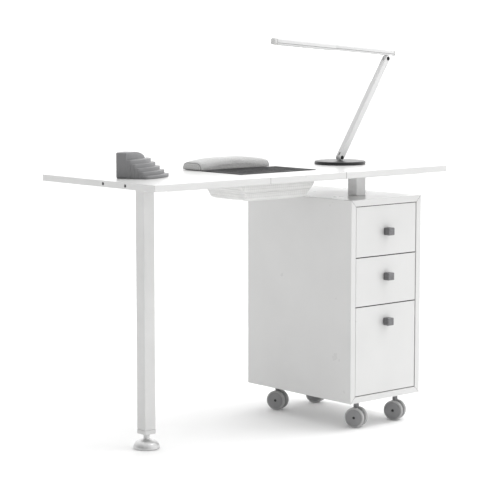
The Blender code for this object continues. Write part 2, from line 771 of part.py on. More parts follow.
def make_lamp_arm(base):
    """The turret, arm and head, each in a frame on its own joint."""
    turret = pivot("lamp_swivel", (0, 0, 0), base)
    thickness = LAMP_BASE_THICKNESS
    pivot_z = LOWER_PIVOT_Z - TOP_HEIGHT - GAP
    plate = rod(0.016, (0, 0, thickness - 0.004 + GAP), (0, 0, thickness), 32)
    turret_piece = place("lamp_turret", plate, "black_metal", turret)
    half = TONGUE[0] / 2
    foot = thickness - 0.002
    tongue_outline = [(-half, foot), (half, foot), *arc((0, pivot_z), half, 0, 180, 8)]
    tongue = outline(tongue_outline, -TONGUE[1] / 2, TONGUE[1] / 2, along="Y")
    join(turret_piece, tool(tongue, turret))
    hole = rod(PIN_HOLE_RADIUS, (0, -0.02, pivot_z), (0, 0.02, pivot_z), 16)
    cut(turret_piece, tool(hole, turret))
    lower = pivot("lamp_lower_axis", (0, 0, pivot_z), turret)
    lamp_pin("lamp_lower_pin", lower)

    tilt = pivot("lamp_arm_tilt", (0, 0, 0), lower, (0, ARM_LEAN, 0))
    half_x, half_y = ARM_SECTION[0] / 2, ARM_SECTION[1] / 2
    arm_outline = [*arc((0, 0), half_x, 180, 360, 10), *arc((0, ARM_LENGTH), half_x, 0, 180, 10)]
    arm = place("lamp_arm", outline(arm_outline, -half_y, half_y, along="Y"), "white_metal", tilt)
    bevel(arm, 0.0008, 1)
    for z in (0, ARM_LENGTH):
        hole = rod(PIN_HOLE_RADIUS, (0, -0.02, z), (0, 0.02, z), 16)
        reach = 0.013
        slot = box((-0.02, -FORK_SLOT / 2, z - reach), (0.02, FORK_SLOT / 2, z + reach))
        cut(arm, tool(hole, tilt), tool(slot, tilt))
    return pivot("lamp_upper_axis", (0, 0, ARM_LENGTH), tilt, (0, HEAD_TILT - ARM_LEAN, 0))


def make_lamp_head(head):
    """The head in its own frame: -X runs out along the light bar, and the pivot is at zero."""
    lamp_pin("lamp_upper_pin", head)
    narrow_y, narrow_z = HEAD_NARROW
    wide_y, wide_z = HEAD_WIDE
    middle = HEAD_UNDERSIDE + narrow_z / 2
    narrow = box((-HEAD_STEP - 0.005, -narrow_y / 2, HEAD_UNDERSIDE), (HEAD_TAIL, narrow_y / 2, HEAD_TOP))
    bar = place("lamp_head", narrow, "white_metal", head)
    bevel(bar, 0.004, 3)
    end = HEAD_TAIL - HEAD_LENGTH
    wide = box((end, -wide_y / 2, middle - wide_z / 2), (-HEAD_STEP, wide_y / 2, middle + wide_z / 2))
    wide_tool = tool(wide, head)
    bevel(wide_tool, 0.004, 3)
    half = TONGUE[0] / 2
    root = HEAD_UNDERSIDE + 0.002
    tongue_outline = [*arc((0, 0), half, 180, 360, 8), (half, root), (-half, root)]
    tongue = outline(tongue_outline, -TONGUE[1] / 2, TONGUE[1] / 2, along="Y")
    join(bar, wide_tool, tool(tongue, head))
    underside = middle - wide_z / 2
    lens_low, lens_high = (end + 0.012, -0.006), (-HEAD_STEP - 0.012, 0.006)
    pocket = box(
        (lens_low[0] - GAP, lens_low[1] - GAP, underside - 0.01),
        (lens_high[0] + GAP, lens_high[1] + GAP, underside + 0.004),
    )
    hole = rod(PIN_HOLE_RADIUS, (0, -0.02, 0), (0, 0.02, 0), 16)
    well_low, well_high = (-SWITCH_AT, 0, HEAD_TOP - 0.003), (-SWITCH_AT, 0, HEAD_TOP + 0.01)
    well = rod(SWITCH_RADIUS + 0.0004, well_low, well_high, 20)
    cut(bar, tool(pocket, head), tool(hole, head), tool(well, head))
    lens = box((*lens_low, underside), (*lens_high, underside + 0.004 - GAP))
    place("lamp_diffuser", lens, "diffuser", head)
    switch = rod(SWITCH_RADIUS, (0, 0, 0), (0, 0, 0.0026), 20)
    place("lamp_switch", switch, "black_plastic", head, (-SWITCH_AT, 0, HEAD_TOP - 0.0018))


def make_lamp(table):
    make_lamp_head(make_lamp_arm(make_lamp_base(table)))


def make_cushion(table):
    """A plain padded form: flat below, arched along its length and rounded across."""
    length, width, height = CUSHION
    columns, rows, edge = 16, 6, 0.006
    bm = bmesh.new()
    bmesh.ops.create_grid(bm, x_segments=columns, y_segments=rows, size=1)
    base = list(bm.faces)
    raised = bmesh.ops.extrude_face_region(bm, geom=base)
    tops = [item for item in raised["geom"] if isinstance(item, bmesh.types.BMVert)]
    for vert in tops:
        u, v = vert.co.x, vert.co.y
        arch = 1 - 0.38 * u * u
        round_off = math.sqrt(max(0, 1 - u**8)) * math.sqrt(max(0, 1 - v**4))
        vert.co.z = edge + (height - edge) * arch * round_off
    for vert in bm.verts:
        corner = 1 - 0.06 * (vert.co.x * vert.co.y) ** 4
        vert.co.x *= corner * length / 2
        vert.co.y *= corner * width / 2
    bmesh.ops.recalc_face_normals(bm, faces=bm.faces)
    mesh = to_mesh(bm)
    smooth(mesh)
    place("wrist_cushion", mesh, "cushion_cover", table, (*CUSHION_CENTRE, TOP_HEIGHT + GAP))


def stand_tier(width, front, back, high):
    """One step: a slab with a bowed front, a rounded right corner and small left corners."""
    small = STAND_SMALL_CORNER
    corner_x, corner_y = STAND_RIGHT_CORNER
    radius = (width * width / 4 + STAND_BULGE**2) / (2 * STAND_BULGE)
    spread = math.degrees(math.asin(width / 2 / radius))
    bow = arc((width / 2, front + radius - STAND_BULGE), radius, 270 - spread, 270 + spread, 14)
    bow = [point for point in bow if small < point[0] < width - corner_x]
    points = [
        *bow,
        *oval((width - corner_x, front + corner_y), (corner_x, corner_y), 280, 360, 4),
        (width, back),
        *arc((small, back - small), small, 90, 180, 2),
        (0, front + small),
    ]
    return outline(points, 0, high)


def make_stand(table):
    """The bottle stand, one moulding: five bowed steps and a tall block that falls to the right."""
    stand = pivot("stand_origin", (*STAND_CORNER, TOP_HEIGHT + GAP), table, (0, 0, STAND_TURN))
    steps = []
    for i, (width, height) in enumerate(STAND_TIERS):
        front = i * STAND_TREAD
        steps.append(stand_tier(width, front, front + STAND_TREAD + STAND_LAP, height))
    piece = place("bottle_stand", steps[0], "grey_plastic", stand)
    for step in steps[1:]:
        join(piece, tool(step, stand))
    width, depth, height = STAND_BLOCK
    corner = STAND_BLOCK_CORNER
    fall_x, fall_z = STAND_FALL
    profile = [
        *arc((corner, corner), corner, 180, 270, 4),
        (width, 0),
        *oval((width - fall_x, height - fall_z), STAND_FALL, 0, 90, 10),
        *arc((corner, height - corner), corner, 90, 180, 4),
    ]
    front = STAND_TREAD * len(STAND_TIERS)
    join(piece, tool(outline(profile, front, front + depth, along="Y"), stand))


def main():
    clear_scene()
    make_collections()
    make_materials()
    table = pivot("table_origin", (-OVERALL_LENGTH / 2, -TOP_DEPTH / 2, 0))
    make_top(table)
    make_top_frame(table)
    make_buttons(table)
    make_leg(table)
    make_cabinet(table)
    make_drawers(table)
    make_casters(table)
    make_collector(table)
    make_lamp(table)
    make_cushion(table)
    make_stand(table)
    bpy.context.view_layer.update()


main()
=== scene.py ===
"""The manicure table's looks: materials for the CAD nodes, and finer pieces in place of the plain ones."""

import json
import math

import bmesh
import bpy
from mathutils import Matrix, Vector
from mathutils.bvhtree import BVHTree


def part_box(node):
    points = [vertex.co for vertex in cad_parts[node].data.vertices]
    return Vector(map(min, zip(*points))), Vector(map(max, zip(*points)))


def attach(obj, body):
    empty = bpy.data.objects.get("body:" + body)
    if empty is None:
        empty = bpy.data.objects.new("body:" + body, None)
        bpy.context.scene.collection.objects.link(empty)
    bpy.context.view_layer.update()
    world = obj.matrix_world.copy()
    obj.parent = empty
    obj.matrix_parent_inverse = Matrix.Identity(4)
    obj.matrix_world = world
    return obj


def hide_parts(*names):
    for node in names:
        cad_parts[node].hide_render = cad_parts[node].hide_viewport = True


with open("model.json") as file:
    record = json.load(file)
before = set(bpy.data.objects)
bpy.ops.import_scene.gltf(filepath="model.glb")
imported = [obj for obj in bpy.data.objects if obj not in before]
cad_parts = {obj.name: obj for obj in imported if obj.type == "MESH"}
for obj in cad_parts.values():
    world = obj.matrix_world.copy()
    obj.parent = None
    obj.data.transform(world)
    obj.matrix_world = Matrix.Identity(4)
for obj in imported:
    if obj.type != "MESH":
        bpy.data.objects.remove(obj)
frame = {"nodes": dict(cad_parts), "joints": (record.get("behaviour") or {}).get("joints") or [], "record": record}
nodes = frame["nodes"]
joints = {joint["name"]: joint for joint in frame["joints"]}
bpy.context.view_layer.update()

MM = 0.001

# Camera: where it stands from the middle of the floor, which way it looks, and how far it dips
CAMERA_AT = (-3.5968, -4.0783, 1.1827)
CAMERA_HEADING = math.radians(41.23)
CAMERA_DIP = math.radians(6.747)
# Its focal length and its sensor's width, in millimetres
CAMERA_LENS = 132.2
CAMERA_SENSOR = 36

# The sky: its level, how it rises along X, Y and Z, and its least
SKY_LEVEL = 0.97
SKY_SLOPE = (0.75, 0.22, 0.35)
SKY_LEAST = 0.2

# The key light: where it hangs, where it points, its width, and its power in watts
KEY_AT = (1.5, -1.0, 4.6)
KEY_AIM = (0, 0, 0.4)
KEY_WIDTH = 2.4
KEY_POWER = 60

# The floor's radius, and how far it lies below the wheels
FLOOR_RADIUS = 40
FLOOR_DROP = 0.4 * MM

# Points closer than this are one point: in a shape built here, and in a CAD node
SAME_POINT = 0.001 * MM
SAME_CAD_POINT = 0.01 * MM

# Edges that turn by more than the first look sharp. A CAD node's edges that turn by more than the
# second are rounded
SHARP_TURN = math.radians(38)
ROUNDED_TURN = math.radians(40)

# A shape drawn in X and Y stands up: its Y becomes Z, and its depth runs along -Y
UPRIGHT = Matrix.Rotation(math.pi / 2, 4, "X")

# The bottle stand's left front corner, and its turn
STAND_AT = (-0.47529, -0.083, 0.7803)
STAND_TURN = math.radians(26)

# Wheels, in millimetres: how far the inner face lies from the axle's middle, how thick a wheel is,
# and the radius at which its tread begins
WHEEL_INNER = 6.5
WHEEL_THICK = 13.5
TREAD_FROM = 25.4

# The light bar, from its pivot: its tail, its length, where its thicker half starts, its underside,
# the sides of its two square sections, and the length of its end caps
HEAD_TAIL = 34 * MM
HEAD_LENGTH = 516 * MM
HEAD_STEP = 229 * MM
HEAD_UNDER = 9.8 * MM
HEAD_NARROW = 18 * MM
HEAD_WIDE = 20 * MM
HEAD_CAP = 12 * MM
TAIL_CAP = 9 * MM
# The tongue and the bracket that the arm's forks clasp
TONGUE_RADIUS = 7 * MM
TONGUE_HALF = 3.2 * MM

# The dust bag's corners in plan
BAG_CORNER = 14 * MM

# The wrist cushion's end seams, from its ends
CUSHION_SEAM = 9 * MM

# --- Materials ---


class Surface:
    """A Principled material and the nodes that feed it, laid out in the object's own metres."""

    def __init__(self, name, roughness, metallic=0.0, **sockets):
        self.material = bpy.data.materials.new(name)
        self.material.use_nodes = True
        self.tree = self.material.node_tree
        self.shader = self.tree.nodes["Principled BSDF"]
        self.shader.inputs["Roughness"].default_value = roughness
        self.shader.inputs["Metallic"].default_value = metallic
        for socket, value in sockets.items():
            self.shader.inputs[socket.replace("_", " ")].default_value = value
        self.normal = None

    def add(self, kind, links=None, **settings):
        """A node. Settings are its properties, or its inputs' values; links are its inputs' sources."""
        made = self.tree.nodes.new("ShaderNode" + kind)
        for key, value in settings.items():
            if hasattr(made, key):
                setattr(made, key, value)
            else:
                made.inputs[key.replace("_", " ")].default_value = value
        for socket, source in (links or {}).items():
            self.tree.links.new(source, made.inputs[socket])
        return made

    def place(self, stretch=(1, 1, 1)):
        """The point's place in metres, each axis stretched."""
        place = self.add("TexCoord").outputs["Object"]
        return self.add("Mapping", {"Vector": place}, Scale=stretch).outputs["Vector"]

    def noise(self, size, detail=3.0, stretch=(1, 1, 1)):
        """Smooth noise whose features are about size metres across."""
        links = {"Vector": self.place(stretch)}
        return self.add("TexNoise", links, Scale=1 / size, Detail=detail).outputs["Fac"]

    def between(self, fac, low, high, start=0.3, end=0.7):
        """fac from start to end becomes low to high."""
        settings = {"From_Min": start, "From_Max": end, "To_Min": low, "To_Max": high}
        return self.add("MapRange", {"Value": fac}, **settings).outputs["Result"]

    def blend(self, fac, first, second):
        """A colour from first to second."""
        mix = self.add("Mix", data_type="RGBA")
        self.tree.links.new(fac, mix.inputs[0])
        for socket, colour in ((mix.inputs[6], first), (mix.inputs[7], second)):
            if isinstance(colour, tuple):
                socket.default_value = (*colour, 1)
            else:
                self.tree.links.new(colour, socket)
        return mix.outputs[2]

    def math(self, operation, first, second):
        made = self.add("Math", operation=operation)
        for socket, value in zip(made.inputs, (first, second)):
            if isinstance(value, (int, float)):
                socket.default_value = value
            else:
                self.tree.links.new(value, socket)
        return made.outputs[0]

    def colour(self, source):
        self.tree.links.new(source, self.shader.inputs["Base Color"])

    def roughness(self, source):
        self.tree.links.new(source, self.shader.inputs["Roughness"])

    def bump(self, height, depth, strength=1.0):
        """Relief depth metres deep, on top of any that is there."""
        links = {"Height": height}
        if self.normal:
            links["Normal"] = self.normal
        bump = self.add("Bump", links, Strength=strength, Distance=depth)
        self.normal = bump.outputs["Normal"]
        self.tree.links.new(self.normal, self.shader.inputs["Normal"])


def shade(colour, share):
    return tuple(min(1.0, c * share) for c in colour)


def coating(name, colour, roughness, mottle=0.03, grain=0.8 * MM, relief=0.02 * MM, **sockets):
    """Paint or moulded plastic: faint cloudy tone, handled patches of gloss, and a fine grain."""
    s = Surface(name, roughness, **sockets)
    cloud = s.between(s.noise(90 * MM), 0, 1)
    s.colour(s.blend(cloud, shade(colour, 1 - mottle), shade(colour, 1 + mottle)))
    s.roughness(s.between(s.noise(35 * MM, 4), roughness * 0.85, roughness * 1.15))
    s.bump(s.noise(grain, 2), relief)
    return s.material


def lacquer(name, colour, roughness=0.32):
    """Sprayed board: a clear top coat with orange peel, and fine settled specks in the paint."""
    s = Surface(name, roughness, Coat_Weight=0.25, Coat_Roughness=0.12)
    cloud = s.between(s.noise(160 * MM), 0, 1)
    tone = s.blend(cloud, shade(colour, 0.975), shade(colour, 1.02))
    speck = s.between(s.noise(1.6 * MM, 1), 0, 0.02, 0.66, 0.80)
    s.colour(s.blend(speck, tone, shade(colour, 0.7)))
    s.roughness(s.between(s.noise(60 * MM, 5), roughness * 0.85, roughness * 1.2))
    s.bump(s.noise(2.4 * MM, 1), 0.012 * MM)
    return s.material


def laminate(name, colour):
    """Matt melamine: a faint pore grain that runs along Y."""
    s = Surface(name, 0.55)
    grain = s.noise(2.2 * MM, 4, stretch=(1, 0.04, 1))
    s.colour(s.blend(s.between(grain, 0, 1), shade(colour, 0.96), shade(colour, 1.02)))
    s.roughness(s.between(s.noise(30 * MM), 0.48, 0.6))
    s.bump(grain, 0.03 * MM)
    return s.material


def brushed(name, colour, roughness, stretch, wear=0.12):
    """Metal with fine lines along one axis, and duller handled patches."""
    s = Surface(name, roughness, 1.0, Anisotropic=0.4)
    lines = s.noise(0.9 * MM, 3, stretch=stretch)
    patches = s.noise(9 * MM, 4)
    s.colour(s.blend(s.between(patches, 0, 1), shade(colour, 1 - wear), shade(colour, 1 + wear)))
    s.roughness(s.between(lines, roughness * 0.75, roughness * 1.35))
    s.bump(lines, 0.02 * MM)
    return s.material


def zinc(name):
    """Zinc plate: small crystals, each with its own tone."""
    s = Surface(name, 0.35, 1.0)
    cells = s.add("TexVoronoi", {"Vector": s.place()}, Scale=1 / (4 * MM))
    crystals = s.between(cells.outputs["Distance"], 0, 1, 0.1, 0.7)
    s.colour(s.blend(crystals, (0.62, 0.63, 0.65), (0.45, 0.46, 0.49)))
    s.roughness(s.between(s.noise(12 * MM), 0.28, 0.45))
    s.bump(s.noise(0.7 * MM), 0.01 * MM)
    return s.material


def leather(name, colour):
    """Faux leather: rounded pebbles with painted shade in the creases between them, a soft sheen and rubbed high
    spots.
    """
    s = Surface(name, 0.5, Sheen_Weight=0.12, Sheen_Roughness=0.4, Coat_Weight=0.08, Coat_Roughness=0.4)
    warp = s.add("VectorMath", operation="ADD")
    shift = s.add("TexNoise", {"Vector": s.place()}, Scale=1 / (5 * MM), Detail=2.0)
    small = s.add("VectorMath", {0: shift.outputs["Color"]}, operation="SCALE")
    small.inputs["Scale"].default_value = 1.2 * MM
    s.tree.links.new(s.place(), warp.inputs[0])
    s.tree.links.new(small.outputs["Vector"], warp.inputs[1])
    links = {"Vector": warp.outputs["Vector"]}
    cells = s.add("TexVoronoi", links, Scale=1 / (1.7 * MM), feature="DISTANCE_TO_EDGE")
    pebble = s.between(cells.outputs["Distance"], 0, 1, 0.0, 0.28)
    cloud = s.between(s.noise(40 * MM), 0, 1)
    tone = s.blend(cloud, shade(colour, 0.94), shade(colour, 1.06))
    # Painted shade: the colour darkens into the creases between the pebbles
    s.colour(s.blend(pebble, shade(colour, 0.62), tone))
    s.roughness(s.between(pebble, 0.62, 0.45, 0, 1))
    s.bump(pebble, 0.16 * MM)
    s.bump(s.noise(18 * MM, 2), 0.25 * MM, 0.5)
    return s.material


def ripstop(name, colour):
    """Plain weave with a heavier thread every 8 mm each way, on whichever two axes the cloth lies."""
    s = Surface(name, 0.85, Sheen_Weight=0.25, Sheen_Roughness=0.5)
    thread, cell = 0.9 * MM, 8 * MM
    weave, ribs = None, None
    for axis in ("X", "Y", "Z"):
        part = s.add("SeparateXYZ", {"Vector": s.place()}).outputs[axis]
        fine = s.math("ABSOLUTE", s.math("SINE", s.math("MULTIPLY", part, math.pi / thread), 0), 0)
        turn = s.math("ABSOLUTE", s.math("COSINE", s.math("MULTIPLY", part, math.pi / cell), 0), 0)
        rib = s.between(turn, 0, 1, 0.975, 0.995)
        weave = fine if weave is None else s.math("ADD", weave, fine)
        ribs = rib if ribs is None else s.math("MAXIMUM", ribs, rib)
    cloud = s.between(s.noise(30 * MM), 0, 1)
    tone = s.blend(cloud, shade(colour, 0.95), shade(colour, 1.04))
    threads = s.blend(s.between(weave, 0, 1, 0.2, 2.2), shade(colour, 0.86), tone)
    s.colour(s.blend(s.math("MULTIPLY", ribs, 0.55), threads, shade(colour, 0.55)))
    s.roughness(s.between(s.noise(10 * MM), 0.78, 0.92))
    s.bump(weave, 0.10 * MM, 0.6)
    s.bump(ribs, 0.20 * MM)
    return s.material


def webbing(name, colour):
    """A woven tape: diagonal ribs."""
    s = Surface(name, 0.8, Sheen_Weight=0.2, Sheen_Roughness=0.5)
    settings = {"bands_direction": "DIAGONAL", "Scale": 1 / (9 * MM), "Distortion": 0.4}
    ribs = s.add("TexWave", {"Vector": s.place()}, **settings).outputs["Fac"]
    s.colour(s.blend(ribs, shade(colour, 0.75), colour))
    s.roughness(s.between(s.noise(6 * MM), 0.7, 0.9))
    s.bump(ribs, 0.15 * MM)
    return s.material


def frosted(name):
    """The light bar's diffuser: translucent white plastic with a faint grain."""
    s = Surface(name, 0.45, Transmission_Weight=0.15, Subsurface_Weight=0.2)
    s.colour(s.blend(s.between(s.noise(14 * MM), 0, 1), (0.86, 0.86, 0.83), (0.93, 0.93, 0.91)))
    s.roughness(s.between(s.noise(5 * MM), 0.4, 0.55))
    s.bump(s.noise(0.8 * MM), 0.02 * MM)
    return s.material


def make_materials():
    """All materials, by the names that the pieces use."""
    black = (0.012, 0.012, 0.013)
    powder = {"roughness": 0.38, "grain": 0.9 * MM, "relief": 0.03 * MM}
    moulded = {"grain": 0.6 * MM, "relief": 0.03 * MM}
    return {
        "white_board": lacquer("white_lacquer", (0.67, 0.67, 0.665)),
        "drawer_board": laminate("drawer_laminate", (0.74, 0.74, 0.73)),
        "white_metal": coating("white_powder_coat", (0.66, 0.66, 0.655), **powder),
        # Painted light: a brighter copy of the white powder coat, for the posts that stand in shade under the top
        "post_painted_light_coat": coating("white_powder_coat_painted_light", (0.95, 0.95, 0.945), **powder),
        "lamp_metal": coating("lamp_powder_coat", (0.68, 0.68, 0.68), 0.34, grain=0.7 * MM),
        "black_metal": coating("black_powder_coat", black, 0.34, 0.15, relief=0.03 * MM),
        "zinc_steel": zinc("zinc_plate"),
        "grey_metal": brushed("satin_nickel", (0.20, 0.20, 0.205), 0.38, (1, 1, 0.06)),
        "foot_steel": brushed("satin_steel", (0.66, 0.66, 0.66), 0.42, (1, 1, 0.3), 0.06),
        "matt_black": coating(
            "matt_black", black, 0.6, 0.15, relief=0.04 * MM, Specular_IOR_Level=0.2
        ),
        "shadow_strip": coating("shadow_strip", (0.03, 0.03, 0.03), 0.8, 0.1, relief=0.03 * MM),
        "black_plastic": coating("black_plastic", (0.018, 0.018, 0.019), 0.45, 0.12, **moulded),
        "white_plastic": coating("white_plastic", (0.64, 0.64, 0.635), 0.42, grain=0.6 * MM),
        "grey_plastic": coating("grey_plastic", (0.21, 0.21, 0.215), 0.5, 0.05, **moulded),
        "wheel_plastic": coating("wheel_nylon", (0.27, 0.27, 0.275), 0.5, 0.08, 1.0 * MM, 0.03 * MM),
        "wheel_tread": coating("wheel_tread", (0.42, 0.42, 0.42), 0.7, 0.1, 1.4 * MM, 0.06 * MM),
        "diffuser": frosted("frosted_acrylic"),
        "bag_cloth": ripstop("ripstop_cloth", (0.76, 0.76, 0.75)),
        "bag_tape": webbing("hem_tape", (0.52, 0.52, 0.51)),
        "cushion_cover": leather("grey_faux_leather", (0.56, 0.56, 0.555)),
        "cushion_piping": leather("piping_faux_leather", (0.30, 0.30, 0.30)),
        "thread": webbing("thread", (0.60, 0.60, 0.59)),
    }


materials = make_materials()

# --- Shared building steps ---


def mesh_from(bm, name):
    """The finished mesh of a shape that was being built."""
    bmesh.ops.recalc_face_normals(bm, faces=bm.faces)
    mesh = bpy.data.meshes.new(name)
    bm.to_mesh(mesh)
    bm.free()
    mesh.shade_smooth()
    mesh.set_sharp_from_angle(angle=SHARP_TURN)
    return mesh


def piece(name, shape, material, body="root", replaces=()):
    """Puts a mesh, or a shape that was being built, in the scene on its body.

    Its one slot holds that material.
    """
    mesh = mesh_from(shape, name) if isinstance(shape, bmesh.types.BMesh) else shape
    obj = bpy.data.objects.new(name, mesh)
    bpy.context.scene.collection.objects.link(obj)
    obj.data.materials.clear()
    obj.data.materials.append(materials[material])
    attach(obj, body)
    if replaces:
        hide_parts(*replaces)
    return obj


def finer(name, shape, material, body="root"):
    """A finer piece in place of the CAD node of that name."""
    return piece(name + "_fine", shape, material, body, [name])


def joint_place(name):
    return Vector(joints[name]["pos_m"])


def at(x, y, z):
    return Matrix.Translation((x, y, z))


def in_mm(points):
    """An outline given in millimetres."""
    return [(first * MM, second * MM) for first, second in points]


def spread(first, last, count):
    """Evenly spaced values from first to last."""
    return [first + (last - first) * i / (count - 1) for i in range(count)]


def inset_corners(low, high, inset, z):
    """Four places at height z, inset from the corners of a box."""
    xs, ys = (low.x + inset, high.x - inset), (low.y + inset, high.y - inset)
    return [(x, y, z) for x in xs for y in ys]


def add_turned(bm, profile, matrix, steps=72):
    """A turned shape: radius and height pairs round local Z, put in place by matrix."""
    fresh = bmesh.new()
    verts = [fresh.verts.new((radius, 0, height)) for radius, height in profile]
    geom = verts + [fresh.edges.new(pair) for pair in zip(verts, verts[1:])]
    bmesh.ops.spin(fresh, geom=geom, axis=(0, 0, 1), cent=(0, 0, 0), angle=math.tau, steps=steps)
    bmesh.ops.remove_doubles(fresh, verts=fresh.verts, dist=SAME_POINT)
    add_shape(bm, fresh, matrix)


def cuboid(size):
    """A box of that size round the origin."""
    fresh = bmesh.new()
    bmesh.ops.create_cube(fresh, size=1)
    bmesh.ops.scale(fresh, vec=size, verts=fresh.verts)
    return fresh


def soften(fresh, edges, radius, segments):
    """Rounds those edges."""
    bmesh.ops.bevel(fresh, geom=edges, offset=radius, segments=segments, profile=0.5, affect="EDGES")


def add_box(bm, size, matrix, radius=0.0, segments=3):
    """A box of that size round the matrix's origin, with all its edges rounded."""
    fresh = cuboid(size)
    if radius:
        soften(fresh, fresh.edges, radius, segments)
    add_shape(bm, fresh, matrix)


def add_bar(bm, size, matrix, radius, end_radius, segments=6):
    """A bar along local X: rounded along its length, and less so at its ends."""
    fresh = cuboid(size)
    half = size[0] / 2
    long_edges = [e for e in fresh.edges if abs(e.verts[0].co.x - e.verts[1].co.x) > half]
    soften(fresh, long_edges, radius, segments)
    ends = [e for e in fresh.edges if all(abs(abs(v.co.x) - half) < SAME_POINT for v in e.verts)]
    soften(fresh, ends, end_radius, 3)
    add_shape(bm, fresh, matrix)


def add_shape(bm, fresh, matrix):
    """Adds one shape to a mesh that is being built, in place."""
    bmesh.ops.recalc_face_normals(fresh, faces=fresh.faces)
    fresh.transform(matrix)
    holder = bpy.data.meshes.new("holder")
    fresh.to_mesh(holder)
    fresh.free()
    bm.from_mesh(holder)
    bpy.data.meshes.remove(holder)


def add_prism(bm, points, low, high, matrix, radius=0.0):
    """An outline in local X and Y, from low to high, with its rims rounded."""
    fresh = bmesh.new()
    face = fresh.faces.new([fresh.verts.new((x, y, low)) for x, y in points])
    raised = bmesh.ops.extrude_face_region(fresh, geom=[face])
    bmesh.ops.translate(fresh, vec=(0, 0, high - low), verts=raised_points(raised))
    if radius:
        rims = [e for e in fresh.edges if abs(e.verts[0].co.z - e.verts[1].co.z) < SAME_POINT]
        soften(fresh, rims, radius, 2)
    add_shape(bm, fresh, matrix)


def raised_points(raised):
    """The points that an extrusion made."""
    return [item for item in raised["geom"] if isinstance(item, bmesh.types.BMVert)]


def bridge(bm, loops):
    """Faces between each closed loop of points and the next."""
    for above, below in zip(loops, loops[1:]):
        for i in range(len(above)):
            j = (i + 1) % len(above)
            bm.faces.new((above[i], below[i], below[j], above[j]))


def axis_matrix(place, axis):
    """Local Z along axis, at place."""
    return Matrix.Translation(place) @ Vector(axis).to_track_quat("Z", "Y").to_matrix().to_4x4()


def arc(centre, radius, start, end, steps, radius_y=None):
    """Points on a circle, or on an oval with its own radius along Y, with angles in degrees."""
    if radius_y is None:
        radius_y = radius
    angles = [math.radians(angle) for angle in spread(start, end, steps + 1)]
    return [(centre[0] + radius * math.cos(a), centre[1] + radius_y * math.sin(a)) for a in angles]


def settle(obj):
    """Keeps the mesh as the object's modifiers make it, and removes them."""
    graph = bpy.context.evaluated_depsgraph_get()
    mesh = bpy.data.meshes.new_from_object(obj.evaluated_get(graph))
    obj.modifiers.clear()
    obj.data = mesh


def thicken(obj, thickness):
    """Makes a sheet a shell that grows inwards."""
    shell = obj.modifiers.new("shell", "SOLIDIFY")
    shell.thickness = thickness
    shell.offset = -1


def subdivide(obj):
    """One level of smooth subdivision, on what the other modifiers make."""
    smooth = obj.modifiers.new("smooth", "SUBSURF")
    smooth.levels = 1
    smooth.render_levels = 1
    settle(obj)


def round_edges(name, width, segments):
    """Softens a CAD node's sharp edges."""
    obj = nodes[name]
    weld = obj.modifiers.new("weld", "WELD")
    weld.merge_threshold = SAME_CAD_POINT
    modifier = obj.modifiers.new("bevel", "BEVEL")
    modifier.width = width
    modifier.segments = segments
    modifier.limit_method = "ANGLE"
    modifier.angle_limit = ROUNDED_TURN


def simulate(obj, frames, most, pressure=0.0, gravity=0.0, pinned=None):
    """Runs cloth on the mesh, and keeps the result, with no point moved further than most."""
    start = [v.co.copy() for v in obj.data.vertices]
    cloth = obj.modifiers.new("cloth", "CLOTH")
    cloth.settings.quality = 6
    cloth.settings.mass = 0.25
    cloth.settings.tension_stiffness = 12
    cloth.settings.compression_stiffness = 12
    cloth.settings.bending_stiffness = 0.4
    cloth.settings.use_pressure = pressure > 0
    cloth.settings.uniform_pressure_force = pressure
    cloth.settings.effector_weights.gravity = gravity
    if pinned:
        group = obj.vertex_groups.new(name="pinned")
        group.add([v.index for v in obj.data.vertices if pinned(v.co)], 1.0, "REPLACE")
        cloth.settings.vertex_group_mass = "pinned"
    scene = bpy.context.scene
    for step in range(1, frames + 1):
        scene.frame_set(step)
    settle(obj)
    scene.frame_set(1)
    for vert, old in zip(obj.data.vertices, start):
        moved = vert.co - old
        if moved.length > most:
            vert.co = old + moved * (most / moved.length)


# --- CAD nodes that keep their shape ---


def dress_nodes():
    """Materials for all the CAD nodes, and rounded edges for those that stay visible."""
    for subpart in frame["record"]["subparts"]:
        obj = nodes[subpart["node"]]
        obj.data.materials.clear()
        obj.data.materials.append(materials[subpart["material_slot"]])
    posts = ("post_front", "post_rear")
    nodes["collector_grille"].data.materials[0] = materials["matt_black"]
    # Painted light: the posts take the brighter copy of the white powder coat, against the shade under the top
    for name in posts:
        nodes[name].data.materials[0] = materials["post_painted_light_coat"]
    boards = ["tabletop_left", "tabletop_centre", "tabletop_right", "cabinet_back"]
    boards += ["cabinet_left_side", "cabinet_right_side", "cabinet_top", "cabinet_bottom"]
    numbers = (1, 2, 3)
    boxes = [f"drawer_{number}_box" for number in numbers]
    runners = [f"drawer_{number}_runner_{side}" for number in numbers for side in ("left", "right")]
    rounded = (
        (boards, 0.7 * MM, 2),
        (("leg_tube", *posts), 1.6 * MM, 3),
        (("leg_cap", "leg_plate", "top_frame", "collector_tray", *boxes), 0.5 * MM, 2),
        (runners, 0.4 * MM, 2),
        (("collector_grille",), 0.25 * MM, 1),
    )
    for names, width, segments in rounded:
        for name in names:
            round_edges(name, width, segments)


# --- Hard pieces ---


def screw_heads(name, places, axis, radius, material):
    """Countersunk heads on the fixed body, with a dark cross of painted shade where a cross recess would be, all
    facing along axis.
    """
    rim, sunk = 0.35 * MM, 0.4 * MM
    profile = [(0, rim), (radius * 0.55, rim), (radius * 0.9, rim * 0.7), (radius, 0.0), (0, -sunk)]
    blade = (radius * 1.1, radius * 0.22, 0.16 * MM)
    heads, recess_shades = bmesh.new(), bmesh.new()
    for place in places:
        matrix = axis_matrix(place, axis)
        add_turned(heads, profile, matrix, 20)
        # Painted shade: thin dark blades on the head stand in for the shade inside the cross recess
        for turn in (0, math.pi / 2):
            cut = matrix @ at(0, 0, rim) @ Matrix.Rotation(turn, 4, "Z")
            add_box(recess_shades, blade, cut)
    piece(name, heads, material)
    piece(name + "_recesses", recess_shades, "black_plastic")


